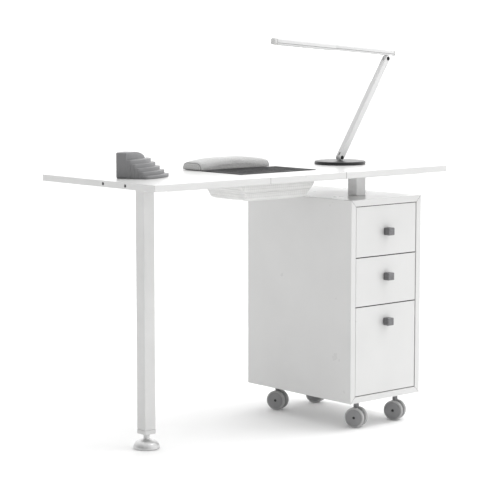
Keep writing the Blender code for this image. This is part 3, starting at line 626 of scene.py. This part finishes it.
def make_screws():
    """Screws of the grille, the leg's plate, the frame and the cabinet's back."""
    low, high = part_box("collector_grille")
    corners = inset_corners(low, high, 4 * MM, high.z)
    screw_heads("grille_screws", corners, (0, 0, 1), 3.2 * MM, "black_metal")

    low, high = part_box("leg_plate")
    corners = inset_corners(low, high, 11 * MM, low.z)
    screw_heads("leg_plate_screws", corners, (0, 0, -1), 4 * MM, "zinc_steel")

    low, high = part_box("top_frame")
    inset = 15 * MM
    xs = spread(low.x + inset, high.x - inset, 8)
    places = [(x, y, low.z) for x in xs for y in (low.y + inset, high.y - inset)]
    screw_heads("frame_screws", places, (0, 0, -1), 3.6 * MM, "zinc_steel")

    low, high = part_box("cabinet_back")
    inset, end_inset = 8 * MM, 30 * MM
    zs = spread(low.z + end_inset, high.z - end_inset, 4)
    places = [(x, high.y, z) for x in (low.x + inset, high.x - inset) for z in zs]
    screw_heads("back_screws", places, (0, 1, 0), 3.2 * MM, "zinc_steel")


def make_knobs():
    """A rounded block that stands on a short round neck."""
    gap, corner, neck_radius, neck_length = 0.7 * MM, 2 * MM, 8 * MM, 3 * MM
    neck = [(0, neck_length), (neck_radius, neck_length), (neck_radius, 0), (0, 0)]
    for number in (1, 2, 3):
        name = f"drawer_{number}_knob"
        low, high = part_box(name)
        centre = (low + high) / 2
        size = Vector((high.x - low.x, high.y - low.y - gap, high.z - low.z))
        bm = bmesh.new()
        block = at(centre.x, low.y + size.y / 2, centre.z)
        add_box(bm, size, block, corner, 5)
        add_turned(bm, neck, axis_matrix((centre.x, high.y, centre.z), (0, -1, 0)), 40)
        finer(name, bm, "grey_metal", f"drawer_{number}")


def make_foot():
    """The levelling foot: a spun dome with a rolled rim, a neck with a nut's shoulder, and its screw."""
    low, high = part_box("levelling_foot")
    radius, top = (high.x - low.x) / 2 / MM, high.z / MM
    neck, waist, screw = 9.5, 8.3, 4.6
    neck_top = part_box("leg_cap")[0].z / MM - 0.4
    rim, rise = 3.4, 23.6
    profile = [(0, top), (screw, top), (screw, neck_top), (neck - 0.6, neck_top), (neck, neck_top - 0.6)]
    profile += [(neck, neck_top - 5), (waist, neck_top - 6), (waist, 30), (neck, 28.4)]
    profile += arc((neck, rim), radius - neck, 90, 0, 18, rise)
    profile += [(radius, 2.2), (radius - 0.5, 0.8), (radius - 1.8, 0), (0, 0)]
    centre = at((low.x + high.x) / 2, (low.y + high.y) / 2, 0)
    bm = bmesh.new()
    add_turned(bm, in_mm(profile), centre, 96)
    finer("levelling_foot", bm, "foot_steel", "levelling_foot")


def wheel_profile(radius, thick):
    """The cover's domed face, a groove, the tread's rounded edges, and the hollow inner face."""
    hub, cover, bore = 4.9, 24, 3.6
    points = [(0, thick - 1.6), (4.5, thick - 1.6)]
    points += [(hub + (cover - hub) * share, thick - 0.4 - share**2) for share in spread(0, 1, 9)]
    points += [(24.4, thick - 2.4), (25.2, thick - 2.4), (25.6, thick - 1.2)]
    points += [(radius - 3, thick - 1), (radius - 1.2, thick - 1.7), (radius - 0.3, thick - 2.8)]
    points += [(radius, thick - 4.4), (radius, 3.4), (radius - 0.3, 1.8), (radius - 1.4, 0.5)]
    points += [(radius - 3, 0.1), (cover, 0), (22, 3), (9, 3), (8, 0.2), (bore, 0.2), (bore, 9), (0, 9)]
    return in_mm(points)


def make_casters():
    """Four casters: a hood that swivels, and a wheel with a hub cap on each of its sides."""
    for corner in ("front_left", "front_right", "rear_left", "rear_right"):
        stem = joint_place(f"caster_{corner}_swivel")
        spin = f"wheel_{corner}_a_spin"
        along, axle = Vector(joints[spin]["axis"]).normalized(), joint_place(spin)
        make_hood(f"caster_{corner}_hood", stem, axle, along, "caster_" + corner)
        for side, sign in (("a", -1), ("b", 1)):
            outward = along * sign
            matrix = axis_matrix(axle + outward * WHEEL_INNER * MM, outward)
            make_wheel(f"caster_{corner}_wheel_{side}", matrix, f"wheel_{corner}_{side}")


def make_wheel(name, matrix, body):
    """A wheel whose outer band is the tread, and its hub cap."""
    low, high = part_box(name)
    bm = bmesh.new()
    add_turned(bm, wheel_profile((high.z - low.z) / 2 / MM, WHEEL_THICK), matrix, 80)
    wheel = finer(name, bm, "wheel_plastic", body)
    wheel.data.materials.append(materials["wheel_tread"])
    inverse = matrix.inverted()
    for polygon in wheel.data.polygons:
        local = inverse @ polygon.center
        if math.hypot(local.x, local.y) > TREAD_FROM * MM:
            polygon.material_index = 1
    cap = ((0, 0.5), (2.8, 0.6), (3.9, 1.0), (4.2, 1.6), (0, 1.6))
    bm = bmesh.new()
    add_turned(bm, in_mm((radius, WHEEL_THICK - sunk) for radius, sunk in cap), matrix, 32)
    piece(name + "_hub_cap", bm, "black_plastic", body)


def make_hood(name, stem, axle, along, body):
    """The caster's disc between the wheels, its axle, and the stem with a flared collar on top."""
    disc = [(0, 4.4), (25, 4.4), (26, 3.4), (26, -3.4), (25, -4.4), (0, -4.4)]
    pin = [(0, 14), (3, 14), (3, -14), (0, -14)]
    top = stem.z / MM
    under = top - 0.5
    shaft = [(0, 40), (5.4, 40), (5.4, 62.2), (8, 62.4), (8.5, 63), (7.2, under - 0.4), (6.8, under)]
    shaft += [(5.2, under), (5.2, top + 10), (0, top + 10)]
    across = axis_matrix(axle, along)
    bm = bmesh.new()
    add_turned(bm, in_mm(disc), across, 64)
    add_turned(bm, in_mm(pin), across, 24)
    add_turned(bm, in_mm(shaft), at(stem.x, stem.y, 0), 48)
    finer(name, bm, "grey_plastic", body)


def make_buttons():
    """A domed push button in a thin bezel, set in the end edge."""
    for name in ("fan_button", "light_button"):
        low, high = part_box(name)
        centre = (low + high) / 2
        radius, depth = (high.z - low.z) / 2 / MM, (high.x - low.x) / MM
        outward = axis_matrix((low.x, centre.y, centre.z), (-1, 0, 0))
        dome = [(0, 0.4), (radius * 0.5, 0.35), (radius * 0.8, 0.1), (radius, -0.4)]
        bm = bmesh.new()
        add_turned(bm, in_mm([*dome, (radius, -depth), (0, -depth)]), outward, 40)
        finer(name, bm, "matt_black", name)
        inner = radius + 0.15
        ring = [(inner, 0.35), (radius + 0.3, 0.7), (radius + 1, 0.7), (radius + 1.4, 0.25)]
        bm = bmesh.new()
        add_turned(bm, in_mm([*ring, (inner, 0.25), (inner, 0.35)]), outward, 40)
        piece(name + "_bezel", bm, "matt_black")


def make_drawer_gap_shadows():
    """Painted shadow: dark strips in the gaps round the drawer fronts, standing in for the shade in those gaps."""
    thick, depth, setback, corner = 1.2 * MM, 10 * MM, 2 * MM, 0.2 * MM
    for number in (1, 2, 3):
        low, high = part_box(f"drawer_{number}_front")
        size, middle = high - low, (low + high) / 2
        y = low.y + setback + depth / 2
        bm = bmesh.new()
        for x in (low.x - thick / 2, high.x + thick / 2):
            upright = (thick, depth, size.z + 2 * thick)
            add_box(bm, upright, at(x, y, middle.z), corner, 1)
        for z in (low.z - thick / 2, high.z + thick / 2):
            add_box(bm, (size.x, depth, thick), at(middle.x, y, z), corner, 1)
        body = f"drawer_{number}"
        piece(body + "_gap_shadow", bm, "shadow_strip", body)


def make_mitre_shadow_strips():
    """Painted shadow: dark strips in the cabinet's four mitre joints, just short of its faces, standing in for the
    shade in the joints.
    """
    left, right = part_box("cabinet_left_side")[0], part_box("cabinet_right_side")[1]
    board, slack, recess = 19 * MM, 0.1 * MM, 0.4 * MM
    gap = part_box("cabinet_top")[0].x - left.x
    bm = bmesh.new()
    for x, inward in ((left.x, 1), (right.x, -1)):
        for z, up in ((left.z, 1), (right.z, -1)):
            corners = [
                (x + inward * (slack + recess), z + up * recess),
                (x + inward * (gap - slack + recess), z + up * recess),
                (x + inward * (board + gap - slack), z + up * board),
                (x + inward * (board + slack), z + up * board),
            ]
            add_prism(bm, corners, -right.y + recess, -left.y - recess, UPRIGHT)
    piece("cabinet_mitre_shadow_strips", bm, "shadow_strip")


def make_top_seam_shadows():
    """Painted shadow: dark strips along the top's two seams, on its upper face and its front edge, standing in for
    the shade in the seams.
    """
    low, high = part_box("tabletop_centre")
    middle = (low + high) / 2
    wide, proud, aside = 0.9 * MM, 0.06 * MM, 0.15 * MM
    bm = bmesh.new()
    for x in (low.x - aside, high.x + aside):
        add_box(bm, (wide, high.y - low.y, 2 * proud), at(x, middle.y, high.z))
        add_box(bm, (wide, 2 * proud, high.z - low.z), at(x, low.y, middle.z))
    piece("top_seam_shadow_strips", bm, "shadow_strip")


def make_stand():
    """The bottle stand, slab by slab: five bowed steps and a tall block that falls to the right."""
    tread, lap, bulge, small = 12.5 * MM, 1.5 * MM, 16 * MM, 2.5 * MM
    first_height, rise = 8.6, 10.6
    corner_x, corner_y = 10 * MM, 14 * MM
    stand = at(*STAND_AT) @ Matrix.Rotation(STAND_TURN, 4, "Z")
    bm = bmesh.new()
    for i, width in enumerate((144, 141, 138, 134.5, 131)):
        width, height, front = width * MM, (first_height + rise * i) * MM, i * tread
        back = front + tread + lap
        radius = (width * width / 4 + bulge**2) / (2 * bulge)
        swing = math.degrees(math.asin(width / 2 / radius))
        bow = arc((width / 2, front + radius - bulge), radius, 270 - swing, 270 + swing, 40)
        points = [point for point in bow if small < point[0] < width - corner_x]
        points += arc((width - corner_x, front + corner_y), corner_x, 280, 360, 8, corner_y)
        points += [(width, back), *arc((small, back - small), small, 90, 180, 4), (0, front + small)]
        add_prism(bm, points, 0, height, stand, 1.2 * MM)
    width, depth, height, corner = 120 * MM, 32 * MM, 72 * MM, 5 * MM
    fall_x, fall_z = 80 * MM, 24 * MM
    profile = [*arc((corner, corner), corner, 180, 270, 6), (width, 0)]
    profile += arc((width - fall_x, height - fall_z), fall_x, 0, 90, 24, fall_z)
    profile += arc((corner, height - corner), corner, 90, 180, 6)
    front = 5 * tread
    add_prism(bm, profile, -front - depth, -front, stand @ UPRIGHT, 1.8 * MM)
    finer("bottle_stand", bm, "grey_plastic")


# --- Lamp ---


def make_lamp_base():
    """The heavy disc, with a rounded edge and a recess for the turret."""
    low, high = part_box("lamp_base")
    radius, thick = (high.x - low.x) / 2 / MM, (high.z - low.z) / MM
    recess, depth, corner = 16.3, 4, 3.5
    profile = [(0, thick - depth), (recess, thick - depth), (recess, thick - 0.3)]
    profile += [(recess + 0.3, thick), (radius - 5, thick)]
    profile += arc((radius - corner, thick - corner), corner, 90, 0, 8)
    profile += [(radius, 1.6), (radius - 0.4, 0.5), (radius - 1.6, 0), (0, 0)]
    centre = at((low.x + high.x) / 2, (low.y + high.y) / 2, low.z)
    bm = bmesh.new()
    add_turned(bm, in_mm(profile), centre, 128)
    finer("lamp_base", bm, "black_metal")


def make_turret():
    """The swivel: a black disc in the base's recess, and the white tongue that the arm's fork clasps."""
    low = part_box("lamp_turret")[0]
    pivot = joint_place("lamp_lower_tilt")
    plate_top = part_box("lamp_base")[1].z
    radius, rim, height = 16 * MM, 0.4 * MM, plate_top - low.z
    plate = [(0, height), (radius - rim, height), (radius, height - rim), (radius, 0), (0, 0)]
    bm = bmesh.new()
    add_turned(bm, plate, at(pivot.x, pivot.y, low.z), 64)
    piece("lamp_turret_plate", bm, "black_metal", "lamp_turret", replaces=["lamp_turret"])
    foot = plate_top - pivot.z - 1 * MM
    points = [(-TONGUE_RADIUS, foot), (TONGUE_RADIUS, foot), *arc((0, 0), TONGUE_RADIUS, 0, 180, 24)]
    bm = bmesh.new()
    add_prism(bm, points, -TONGUE_HALF, TONGUE_HALF, at(*pivot) @ UPRIGHT, 0.4 * MM)
    piece("lamp_turret_tongue", bm, "lamp_metal", "lamp_turret")


def head_place():
    """The light bar's own place: the pivot, with X along the bar towards its tail, and Z up."""
    press = Vector(joints["lamp_switch_press"]["axis"])
    tilt = Matrix.Rotation(math.atan2(-press.x, -press.z), 4, "Y")
    return at(*joint_place("lamp_upper_tilt")) @ tilt


def make_lamp_head():
    """The light bar: a slim rear bar, a thicker front one, end caps, seams, painted seam shadows, and the bracket
    below.
    """
    head = head_place()
    middle = HEAD_UNDER + HEAD_NARROW / 2
    end, seam = HEAD_TAIL - HEAD_LENGTH, 0.6 * MM
    front, rear = end + HEAD_CAP, HEAD_TAIL - TAIL_CAP

    def bar(bm, start, stop, side, radius, end_radius):
        place = head @ at((start + stop) / 2, 0, middle)
        add_bar(bm, (abs(stop - start), side, side), place, radius, end_radius)

    bm = bmesh.new()
    bar(bm, -HEAD_STEP + seam / 2, rear - seam / 2, HEAD_NARROW, 5 * MM, 0.3 * MM)
    bar(bm, front + seam / 2, -HEAD_STEP - seam / 2, HEAD_WIDE, 6 * MM, 0.4 * MM)
    lap = 3 * MM
    bar(bm, -HEAD_STEP - lap, -HEAD_STEP + lap, HEAD_NARROW - 1.6 * MM, 4.5 * MM, 0.3 * MM)
    root = HEAD_UNDER + 3 * MM
    bracket = [*arc((0, 0), TONGUE_RADIUS, 180, 360, 24), (TONGUE_RADIUS, root), (-TONGUE_RADIUS, root)]
    add_prism(bm, bracket, -TONGUE_HALF, TONGUE_HALF, head @ UPRIGHT, 0.4 * MM)
    finer("lamp_head", bm, "lamp_metal", "lamp_head")

    bm = bmesh.new()
    bar(bm, end, front - seam / 2, HEAD_WIDE, 6 * MM, 2.2 * MM)
    bar(bm, rear + seam / 2, HEAD_TAIL, HEAD_NARROW, 5 * MM, 2.0 * MM)
    piece("lamp_end_caps", bm, "white_plastic", "lamp_head")

    # Painted shadow: dark strips low along both sides of the bar stand in for the shade of a seam
    bm = bmesh.new()
    proud, tall, rise, short = 0.12 * MM, 0.9 * MM, 6.2 * MM, 2 * MM
    for start, stop, side in ((-HEAD_STEP, rear, HEAD_NARROW), (front, -HEAD_STEP, HEAD_WIDE)):
        place = head @ at((start + stop) / 2, 0, middle - side / 2 + rise)
        add_box(bm, (abs(stop - start) - short, side + 2 * proud, tall), place)
    piece("lamp_seam_shadows", bm, "shadow_strip", "lamp_head")

    bm = bmesh.new()
    wide, thick, sunk = 12 * MM, 1.2 * MM, 0.1 * MM
    centre = (front + (-HEAD_STEP - HEAD_CAP)) / 2
    place = head @ at(centre, 0, middle - HEAD_WIDE / 2 - sunk)
    size = (abs(end + HEAD_STEP) - 2 * HEAD_CAP, wide, thick)
    add_bar(bm, size, place, 0.5 * MM, 0.4 * MM, 3)
    finer("lamp_diffuser", bm, "diffuser", "lamp_head")


def make_lamp_switch():
    """A dished touch switch in a bezel, on top of the light bar."""
    radius, depth, from_pivot = 4.5, 1.6, 43 * MM
    place = head_place() @ at(-from_pivot, 0, HEAD_UNDER + HEAD_NARROW)
    dish = [(0, 0.45), (radius * 0.6, 0.55), (radius * 0.85, 0.8), (radius, 0.4)]
    bm = bmesh.new()
    add_turned(bm, in_mm([*dish, (radius, -depth), (0, -depth)]), place, 40)
    finer("lamp_switch", bm, "black_plastic", "lamp_switch")
    inner = (radius + 0.3, -0.2)
    ring = [inner, (radius + 0.4, 0.3), (radius + 1, 0.3), (radius + 1.3, -0.2), inner]
    bm = bmesh.new()
    add_turned(bm, in_mm(ring), place, 40)
    piece("lamp_switch_bezel", bm, "black_plastic", "lamp_head")


def make_lamp_pins():
    """Domed pin heads with a round recess, over the plain pins."""
    pins = (("lower", "lamp_turret"), ("upper", "lamp_head"))
    for which, body in pins:
        name = f"lamp_{which}_pin"
        centre = joint_place(f"lamp_{which}_tilt")
        low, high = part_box(name)
        reach = (high.y - low.y) / 2 / MM
        dome = [(0, reach - 0.5), (2, reach - 0.5), (2.2, reach), (5, reach - 0.1), (5.8, reach - 0.45)]
        shank = [(6, reach - 1.2), (3, reach - 1.2), (3, 0), (0, 0)]
        bm = bmesh.new()
        for sign in (-1, 1):
            add_turned(bm, in_mm([*dome, *shank]), axis_matrix(centre, (0, sign, 0)), 36)
        finer(name, bm, "matt_black", body)


# --- Soft pieces ---


def bag_loop(half_x, half_y):
    """A rounded rectangle's points, counter-clockwise, with extra points along its straight sides."""
    corner_x, corner_y, radius, steps = half_x - BAG_CORNER, half_y - BAG_CORNER, BAG_CORNER, 12
    corners = ((corner_x, corner_y), (-corner_x, corner_y), (-corner_x, -corner_y), (corner_x, -corner_y))
    bends = [arc(place, radius, 90 * i, 90 * i + 90, 6) for i, place in enumerate(corners)]
    points = []
    for i, bend in enumerate(bends):
        points += bend
        target = bends[(i + 1) % 4][0]
        for share in spread(0, 1, steps + 1)[1:-1]:
            points.append(tuple(a + (b - a) * share for a, b in zip(bend[-1], target)))
    return points


def make_bag():
    """The dust bag: a sewn cloth shell that hangs from a hem tape and sags a little."""
    low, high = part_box("dust_bag")
    centre, top = (low + high) / 2, high.z
    slack, clear = 0.6 * MM, 3 * MM
    half_x, half_y = (high.x - low.x) / 2 - slack, (high.y - low.y) / 2 - slack
    depth = high.z - low.z - clear
    rows, fold = 14, 0.70
    taper, corner = Vector((18 * MM, 5 * MM)), Vector((14 * MM, 8 * MM))
    belly = Vector((4 * MM, 3 * MM))
    bm = bmesh.new()
    loops = []
    for row in range(rows + 1):
        share = row / rows
        if share < fold:
            inset, drop = taper * (share / fold) ** 1.3, depth * share
            inset = inset - belly * math.sin(math.pi * share / fold)
        else:
            turn = (share - fold) / (1 - fold) * math.pi / 2
            inset = taper + corner * (1 - math.cos(turn))
            drop = depth * fold + depth * (1 - fold) * math.sin(turn)
        points = bag_loop(half_x - inset.x, half_y - inset.y)
        loops.append([bm.verts.new((centre.x + x, centre.y + y, top - drop)) for x, y in points])
    inner = loops[-1]
    middle = Vector((centre.x, centre.y, inner[0].co.z))
    for share in (0.75, 0.5, 0.25):
        loops.append([bm.verts.new(middle.lerp(v.co, share)) for v in inner])
    bridge(bm, loops)
    bm.faces.new(loops[-1])
    bag = piece("dust_bag_cloth", bm, "bag_cloth", replaces=["dust_bag"])
    held = top - 7 * MM
    simulate(bag, 14, 3.2 * MM, pressure=0.6, gravity=0.4, pinned=lambda co: co.z > held)
    ruffle(bag, centre, top, depth)
    thicken(bag, 0.8 * MM)
    subdivide(bag)
    bag.data.shade_smooth()
    make_bag_trim(centre, half_x, half_y, top)


def ruffle(bag, centre, top, depth):
    """Shallow gathers that hang down from the hem and fade towards the bottom."""
    most, squash = 1 * MM, 1.6
    for vert in bag.data.vertices:
        across = vert.co - centre
        turn = math.atan2(across.y * squash, across.x)
        down = min(1.0, max(0.0, (top - vert.co.z) / depth))
        fine, coarse = math.sin(turn * 22 + 3 * math.sin(turn * 3)), math.sin(turn * 9 + 1.3)
        fade = math.sin(math.pi * min(1.0, down * 1.1)) ** 0.8
        side = Vector((across.x, across.y, 0)).normalized()
        vert.co += side * (fine * 0.45 + coarse * 0.4) * most * fade


def tube(name, points, radius, material):
    """A thin round cord along a line of points, on the fixed body."""
    curve = bpy.data.curves.new(name, "CURVE")
    curve.dimensions = "3D"
    curve.bevel_depth = radius
    curve.bevel_resolution = 3
    curve.use_fill_caps = True
    spline = curve.splines.new("POLY")
    spline.points.add(len(points) - 1)
    for point, place in zip(spline.points, points):
        point.co = (*place, 1)
    holder = bpy.data.objects.new(name, curve)
    bpy.context.scene.collection.objects.link(holder)
    graph = bpy.context.evaluated_depsgraph_get()
    mesh = bpy.data.meshes.new_from_object(holder.evaluated_get(graph))
    bpy.data.objects.remove(holder)
    mesh.shade_smooth()
    piece(name, mesh, material)


def make_bag_trim(centre, half_x, half_y, top):
    """The hem tape that holds the bag below the top, and its row of snap studs."""
    tape = 9 * MM
    bm = bmesh.new()
    rings = []
    section = in_mm(((0.9, 0.2), (1.3, 1.2))) + [(1.3 * MM, tape - 1 * MM), (0.7 * MM, tape)]
    for out, drop in section:
        points = bag_loop(half_x + out, half_y + out)
        rings.append([bm.verts.new((centre.x + x, centre.y + y, top - drop)) for x, y in points])
    bridge(bm, rings)
    hem = piece("dust_bag_hem", bm, "bag_tape")
    thicken(hem, 0.6 * MM)
    settle(hem)
    stud = in_mm(((0, 0.7), (1.0, 0.65), (2.0, 0.4), (2.6, 0), (0, 0)))
    proud = 1.25 * MM
    signs, out_x, out_y = (-1, 1), half_x + proud, half_y + proud
    long_shares, end_shares = spread(-0.75, 0.75, 4), (-0.5, 0.5)
    seats = [(half_x * share, out_y * sign, (0, sign, 0)) for share in long_shares for sign in signs]
    seats += [(out_x * sign, half_y * share, (sign, 0, 0)) for share in end_shares for sign in signs]
    bm = bmesh.new()
    for x, y, outward in seats:
        place = (centre.x + x, centre.y + y, top - tape / 2)
        add_turned(bm, stud, axis_matrix(place, outward), 24)
    piece("dust_bag_studs", bm, "zinc_steel")


def make_cushion():
    """The wrist cushion: an arched pad that swells, with end panels set in with piping."""
    low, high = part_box("wrist_cushion")
    centre = Vector(((low.x + high.x) / 2, (low.y + high.y) / 2, low.z))
    length, width, height = high.x - low.x, high.y - low.y, high.z - low.z
    grow, edge, end_fall = 0.8 * MM, 5 * MM, 0.38
    bm = bmesh.new()
    bmesh.ops.create_grid(bm, x_segments=40, y_segments=14, size=1)
    raised = bmesh.ops.extrude_face_region(bm, geom=list(bm.faces))
    for vert in raised_points(raised):
        u, v = vert.co.x, vert.co.y
        arch = 1 - end_fall * u * u
        round_off = math.sqrt(max(0, 1 - abs(u) ** 24)) * math.sqrt(max(0, 1 - abs(v) ** 5))
        vert.co.z = edge + (height - edge + grow) * arch * round_off
    for vert in bm.verts:
        corner = 1 - 0.05 * (vert.co.x * vert.co.y) ** 6
        vert.co.x *= corner * (length / 2 + grow)
        vert.co.y *= corner * (width / 2 + grow)
    bmesh.ops.translate(bm, vec=centre, verts=bm.verts)
    name = "wrist_cushion"
    cushion = piece(name + "_cover", bm, "cushion_cover", replaces=[name])
    remesh = cushion.modifiers.new("remesh", "REMESH")
    remesh.mode = "VOXEL"
    remesh.voxel_size = 4 * MM
    settle(cushion)
    simulate(cushion, 16, 2.5 * MM, pressure=1.6)
    least, most = low.z + 0.2 * MM, high.z + 1.5 * MM
    for vert in cushion.data.vertices:
        vert.co.z = min(max(vert.co.z, least), most)
    subdivide(cushion)
    groove_cushion(cushion, centre, length, low.z)
    cushion.data.shade_smooth()
    pipe_cushion(cushion, centre, length, low.z)


def groove_cushion(cushion, centre, length, floor):
    """Draws the cover in along its two end seams, above its base."""
    seam, wide, deep = length / 2 - CUSHION_SEAM, 3.5 * MM, 1.2 * MM
    base, core = floor + 3 * MM, floor + 8 * MM
    for vert in cushion.data.vertices:
        away = abs(abs(vert.co.x - centre.x) - seam)
        if vert.co.z > base:
            inward = Vector((vert.co.x, centre.y, core)) - vert.co
            vert.co += inward.normalized() * deep * math.exp(-((away / wide) ** 2))
    cushion.data.update()


def cushion_section(tree, x, centre, floor):
    """Where the cushion's skin lies in the plane at x, from one side over the top to the other."""
    reach = 80 * MM
    middle = Vector((x, centre.y, floor + 4 * MM))
    points = []
    for turn in spread(-0.02 * math.pi, 1.02 * math.pi, 61):
        out = Vector((0, math.cos(turn), math.sin(turn)))
        hit = tree.ray_cast(middle + out * reach, -out)[0]
        if hit:
            points.append(hit)
    return points


def pipe_cushion(cushion, centre, length, floor):
    """Piping along the two end seams, and a line of stitches on each side of it."""
    tree = BVHTree.FromObject(cushion, bpy.context.evaluated_depsgraph_get())
    for side, sign in (("left", -1), ("right", 1)):
        x = centre.x + sign * (length / 2 - CUSHION_SEAM)
        points = cushion_section(tree, x, centre, floor)
        tube(f"cushion_piping_{side}", points, 1.3 * MM, "cushion_piping")
        for offset in (-4 * MM, 4 * MM):
            where = "out" if offset * sign > 0 else "in"
            line = cushion_section(tree, x + offset, centre, floor)
            stitch_line(f"cushion_stitches_{side}_{where}", line)


def stitch_line(name, points):
    """Short raised stitches along a line of points on the cover."""
    run, pitch, stitch = 0.0, 4.2 * MM, (2.8 * MM, 0.7 * MM, 0.7 * MM)
    bm = bmesh.new()
    for start, stop in zip(points, points[1:]):
        step = stop - start
        run += step.length
        if run < pitch:
            continue
        run = 0.0
        along = step.to_track_quat("X", "Z").to_matrix().to_4x4()
        matrix = Matrix.Translation((start + stop) / 2) @ along
        add_bar(bm, stitch, matrix, 0.25 * MM, 0.2 * MM, 2)
    piece(name, bm, "thread")


# --- Camera, floor and light ---


def make_camera():
    """The camera, level from side to side."""
    data = bpy.data.cameras.new("camera")
    data.sensor_width = CAMERA_SENSOR
    data.lens = CAMERA_LENS
    camera = bpy.data.objects.new("camera", data)
    camera.location = CAMERA_AT
    camera.rotation_euler = (math.pi / 2 - CAMERA_DIP, 0, -CAMERA_HEADING)
    bpy.context.scene.collection.objects.link(camera)
    bpy.context.scene.camera = camera


def make_floor():
    """A pale disc that reaches out of the picture."""
    bm = bmesh.new()
    bmesh.ops.create_circle(bm, cap_ends=True, segments=96, radius=FLOOR_RADIUS)
    bmesh.ops.translate(bm, vec=(0, 0, -FLOOR_DROP), verts=bm.verts)
    mesh = bpy.data.meshes.new("floor")
    bm.to_mesh(mesh)
    bm.free()
    floor = bpy.data.objects.new("floor", mesh)
    bpy.context.scene.collection.objects.link(floor)
    mesh.materials.append(coating("pale_floor", (0.97, 0.97, 0.97), 0.9, 0.005, 3 * MM, 0.01 * MM))


def make_light():
    """An even pale sky, dimmer on the table's left, and one broad lamp high on the right."""
    world = bpy.data.worlds.new("studio")
    bpy.context.scene.world = world
    world.use_nodes = True
    tree = world.node_tree
    background = tree.nodes["Background"]
    background.inputs["Color"].default_value = (1, 1, 1, 1)
    source = tree.nodes.new("ShaderNodeTexCoord").outputs["Generated"]
    for kind, operation, value in (
        ("ShaderNodeVectorMath", "DOT_PRODUCT", SKY_SLOPE),
        ("ShaderNodeMath", "ADD", SKY_LEVEL),
        ("ShaderNodeMath", "MAXIMUM", SKY_LEAST),
    ):
        step = tree.nodes.new(kind)
        step.operation = operation
        step.inputs[1].default_value = value
        tree.links.new(source, step.inputs[0])
        source = step.outputs["Value"]
    tree.links.new(source, background.inputs["Strength"])

    data = bpy.data.lights.new("key", "AREA")
    data.shape = "DISK"
    data.size = KEY_WIDTH
    data.energy = KEY_POWER
    key = bpy.data.objects.new("key", data)
    key.location = KEY_AT
    key.rotation_euler = (Vector(KEY_AIM) - key.location).to_track_quat("-Z", "Y").to_euler()
    bpy.context.scene.collection.objects.link(key)


def main():
    make_camera()
    dress_nodes()
    make_screws()
    make_knobs()
    make_foot()
    make_casters()
    make_buttons()
    make_drawer_gap_shadows()
    make_mitre_shadow_strips()
    make_top_seam_shadows()
    make_stand()
    make_lamp_base()
    make_turret()
    make_lamp_head()
    make_lamp_switch()
    make_lamp_pins()
    make_bag()
    make_cushion()
    make_floor()
    make_light()
    bpy.context.scene.view_settings.view_transform = "Standard"


main()
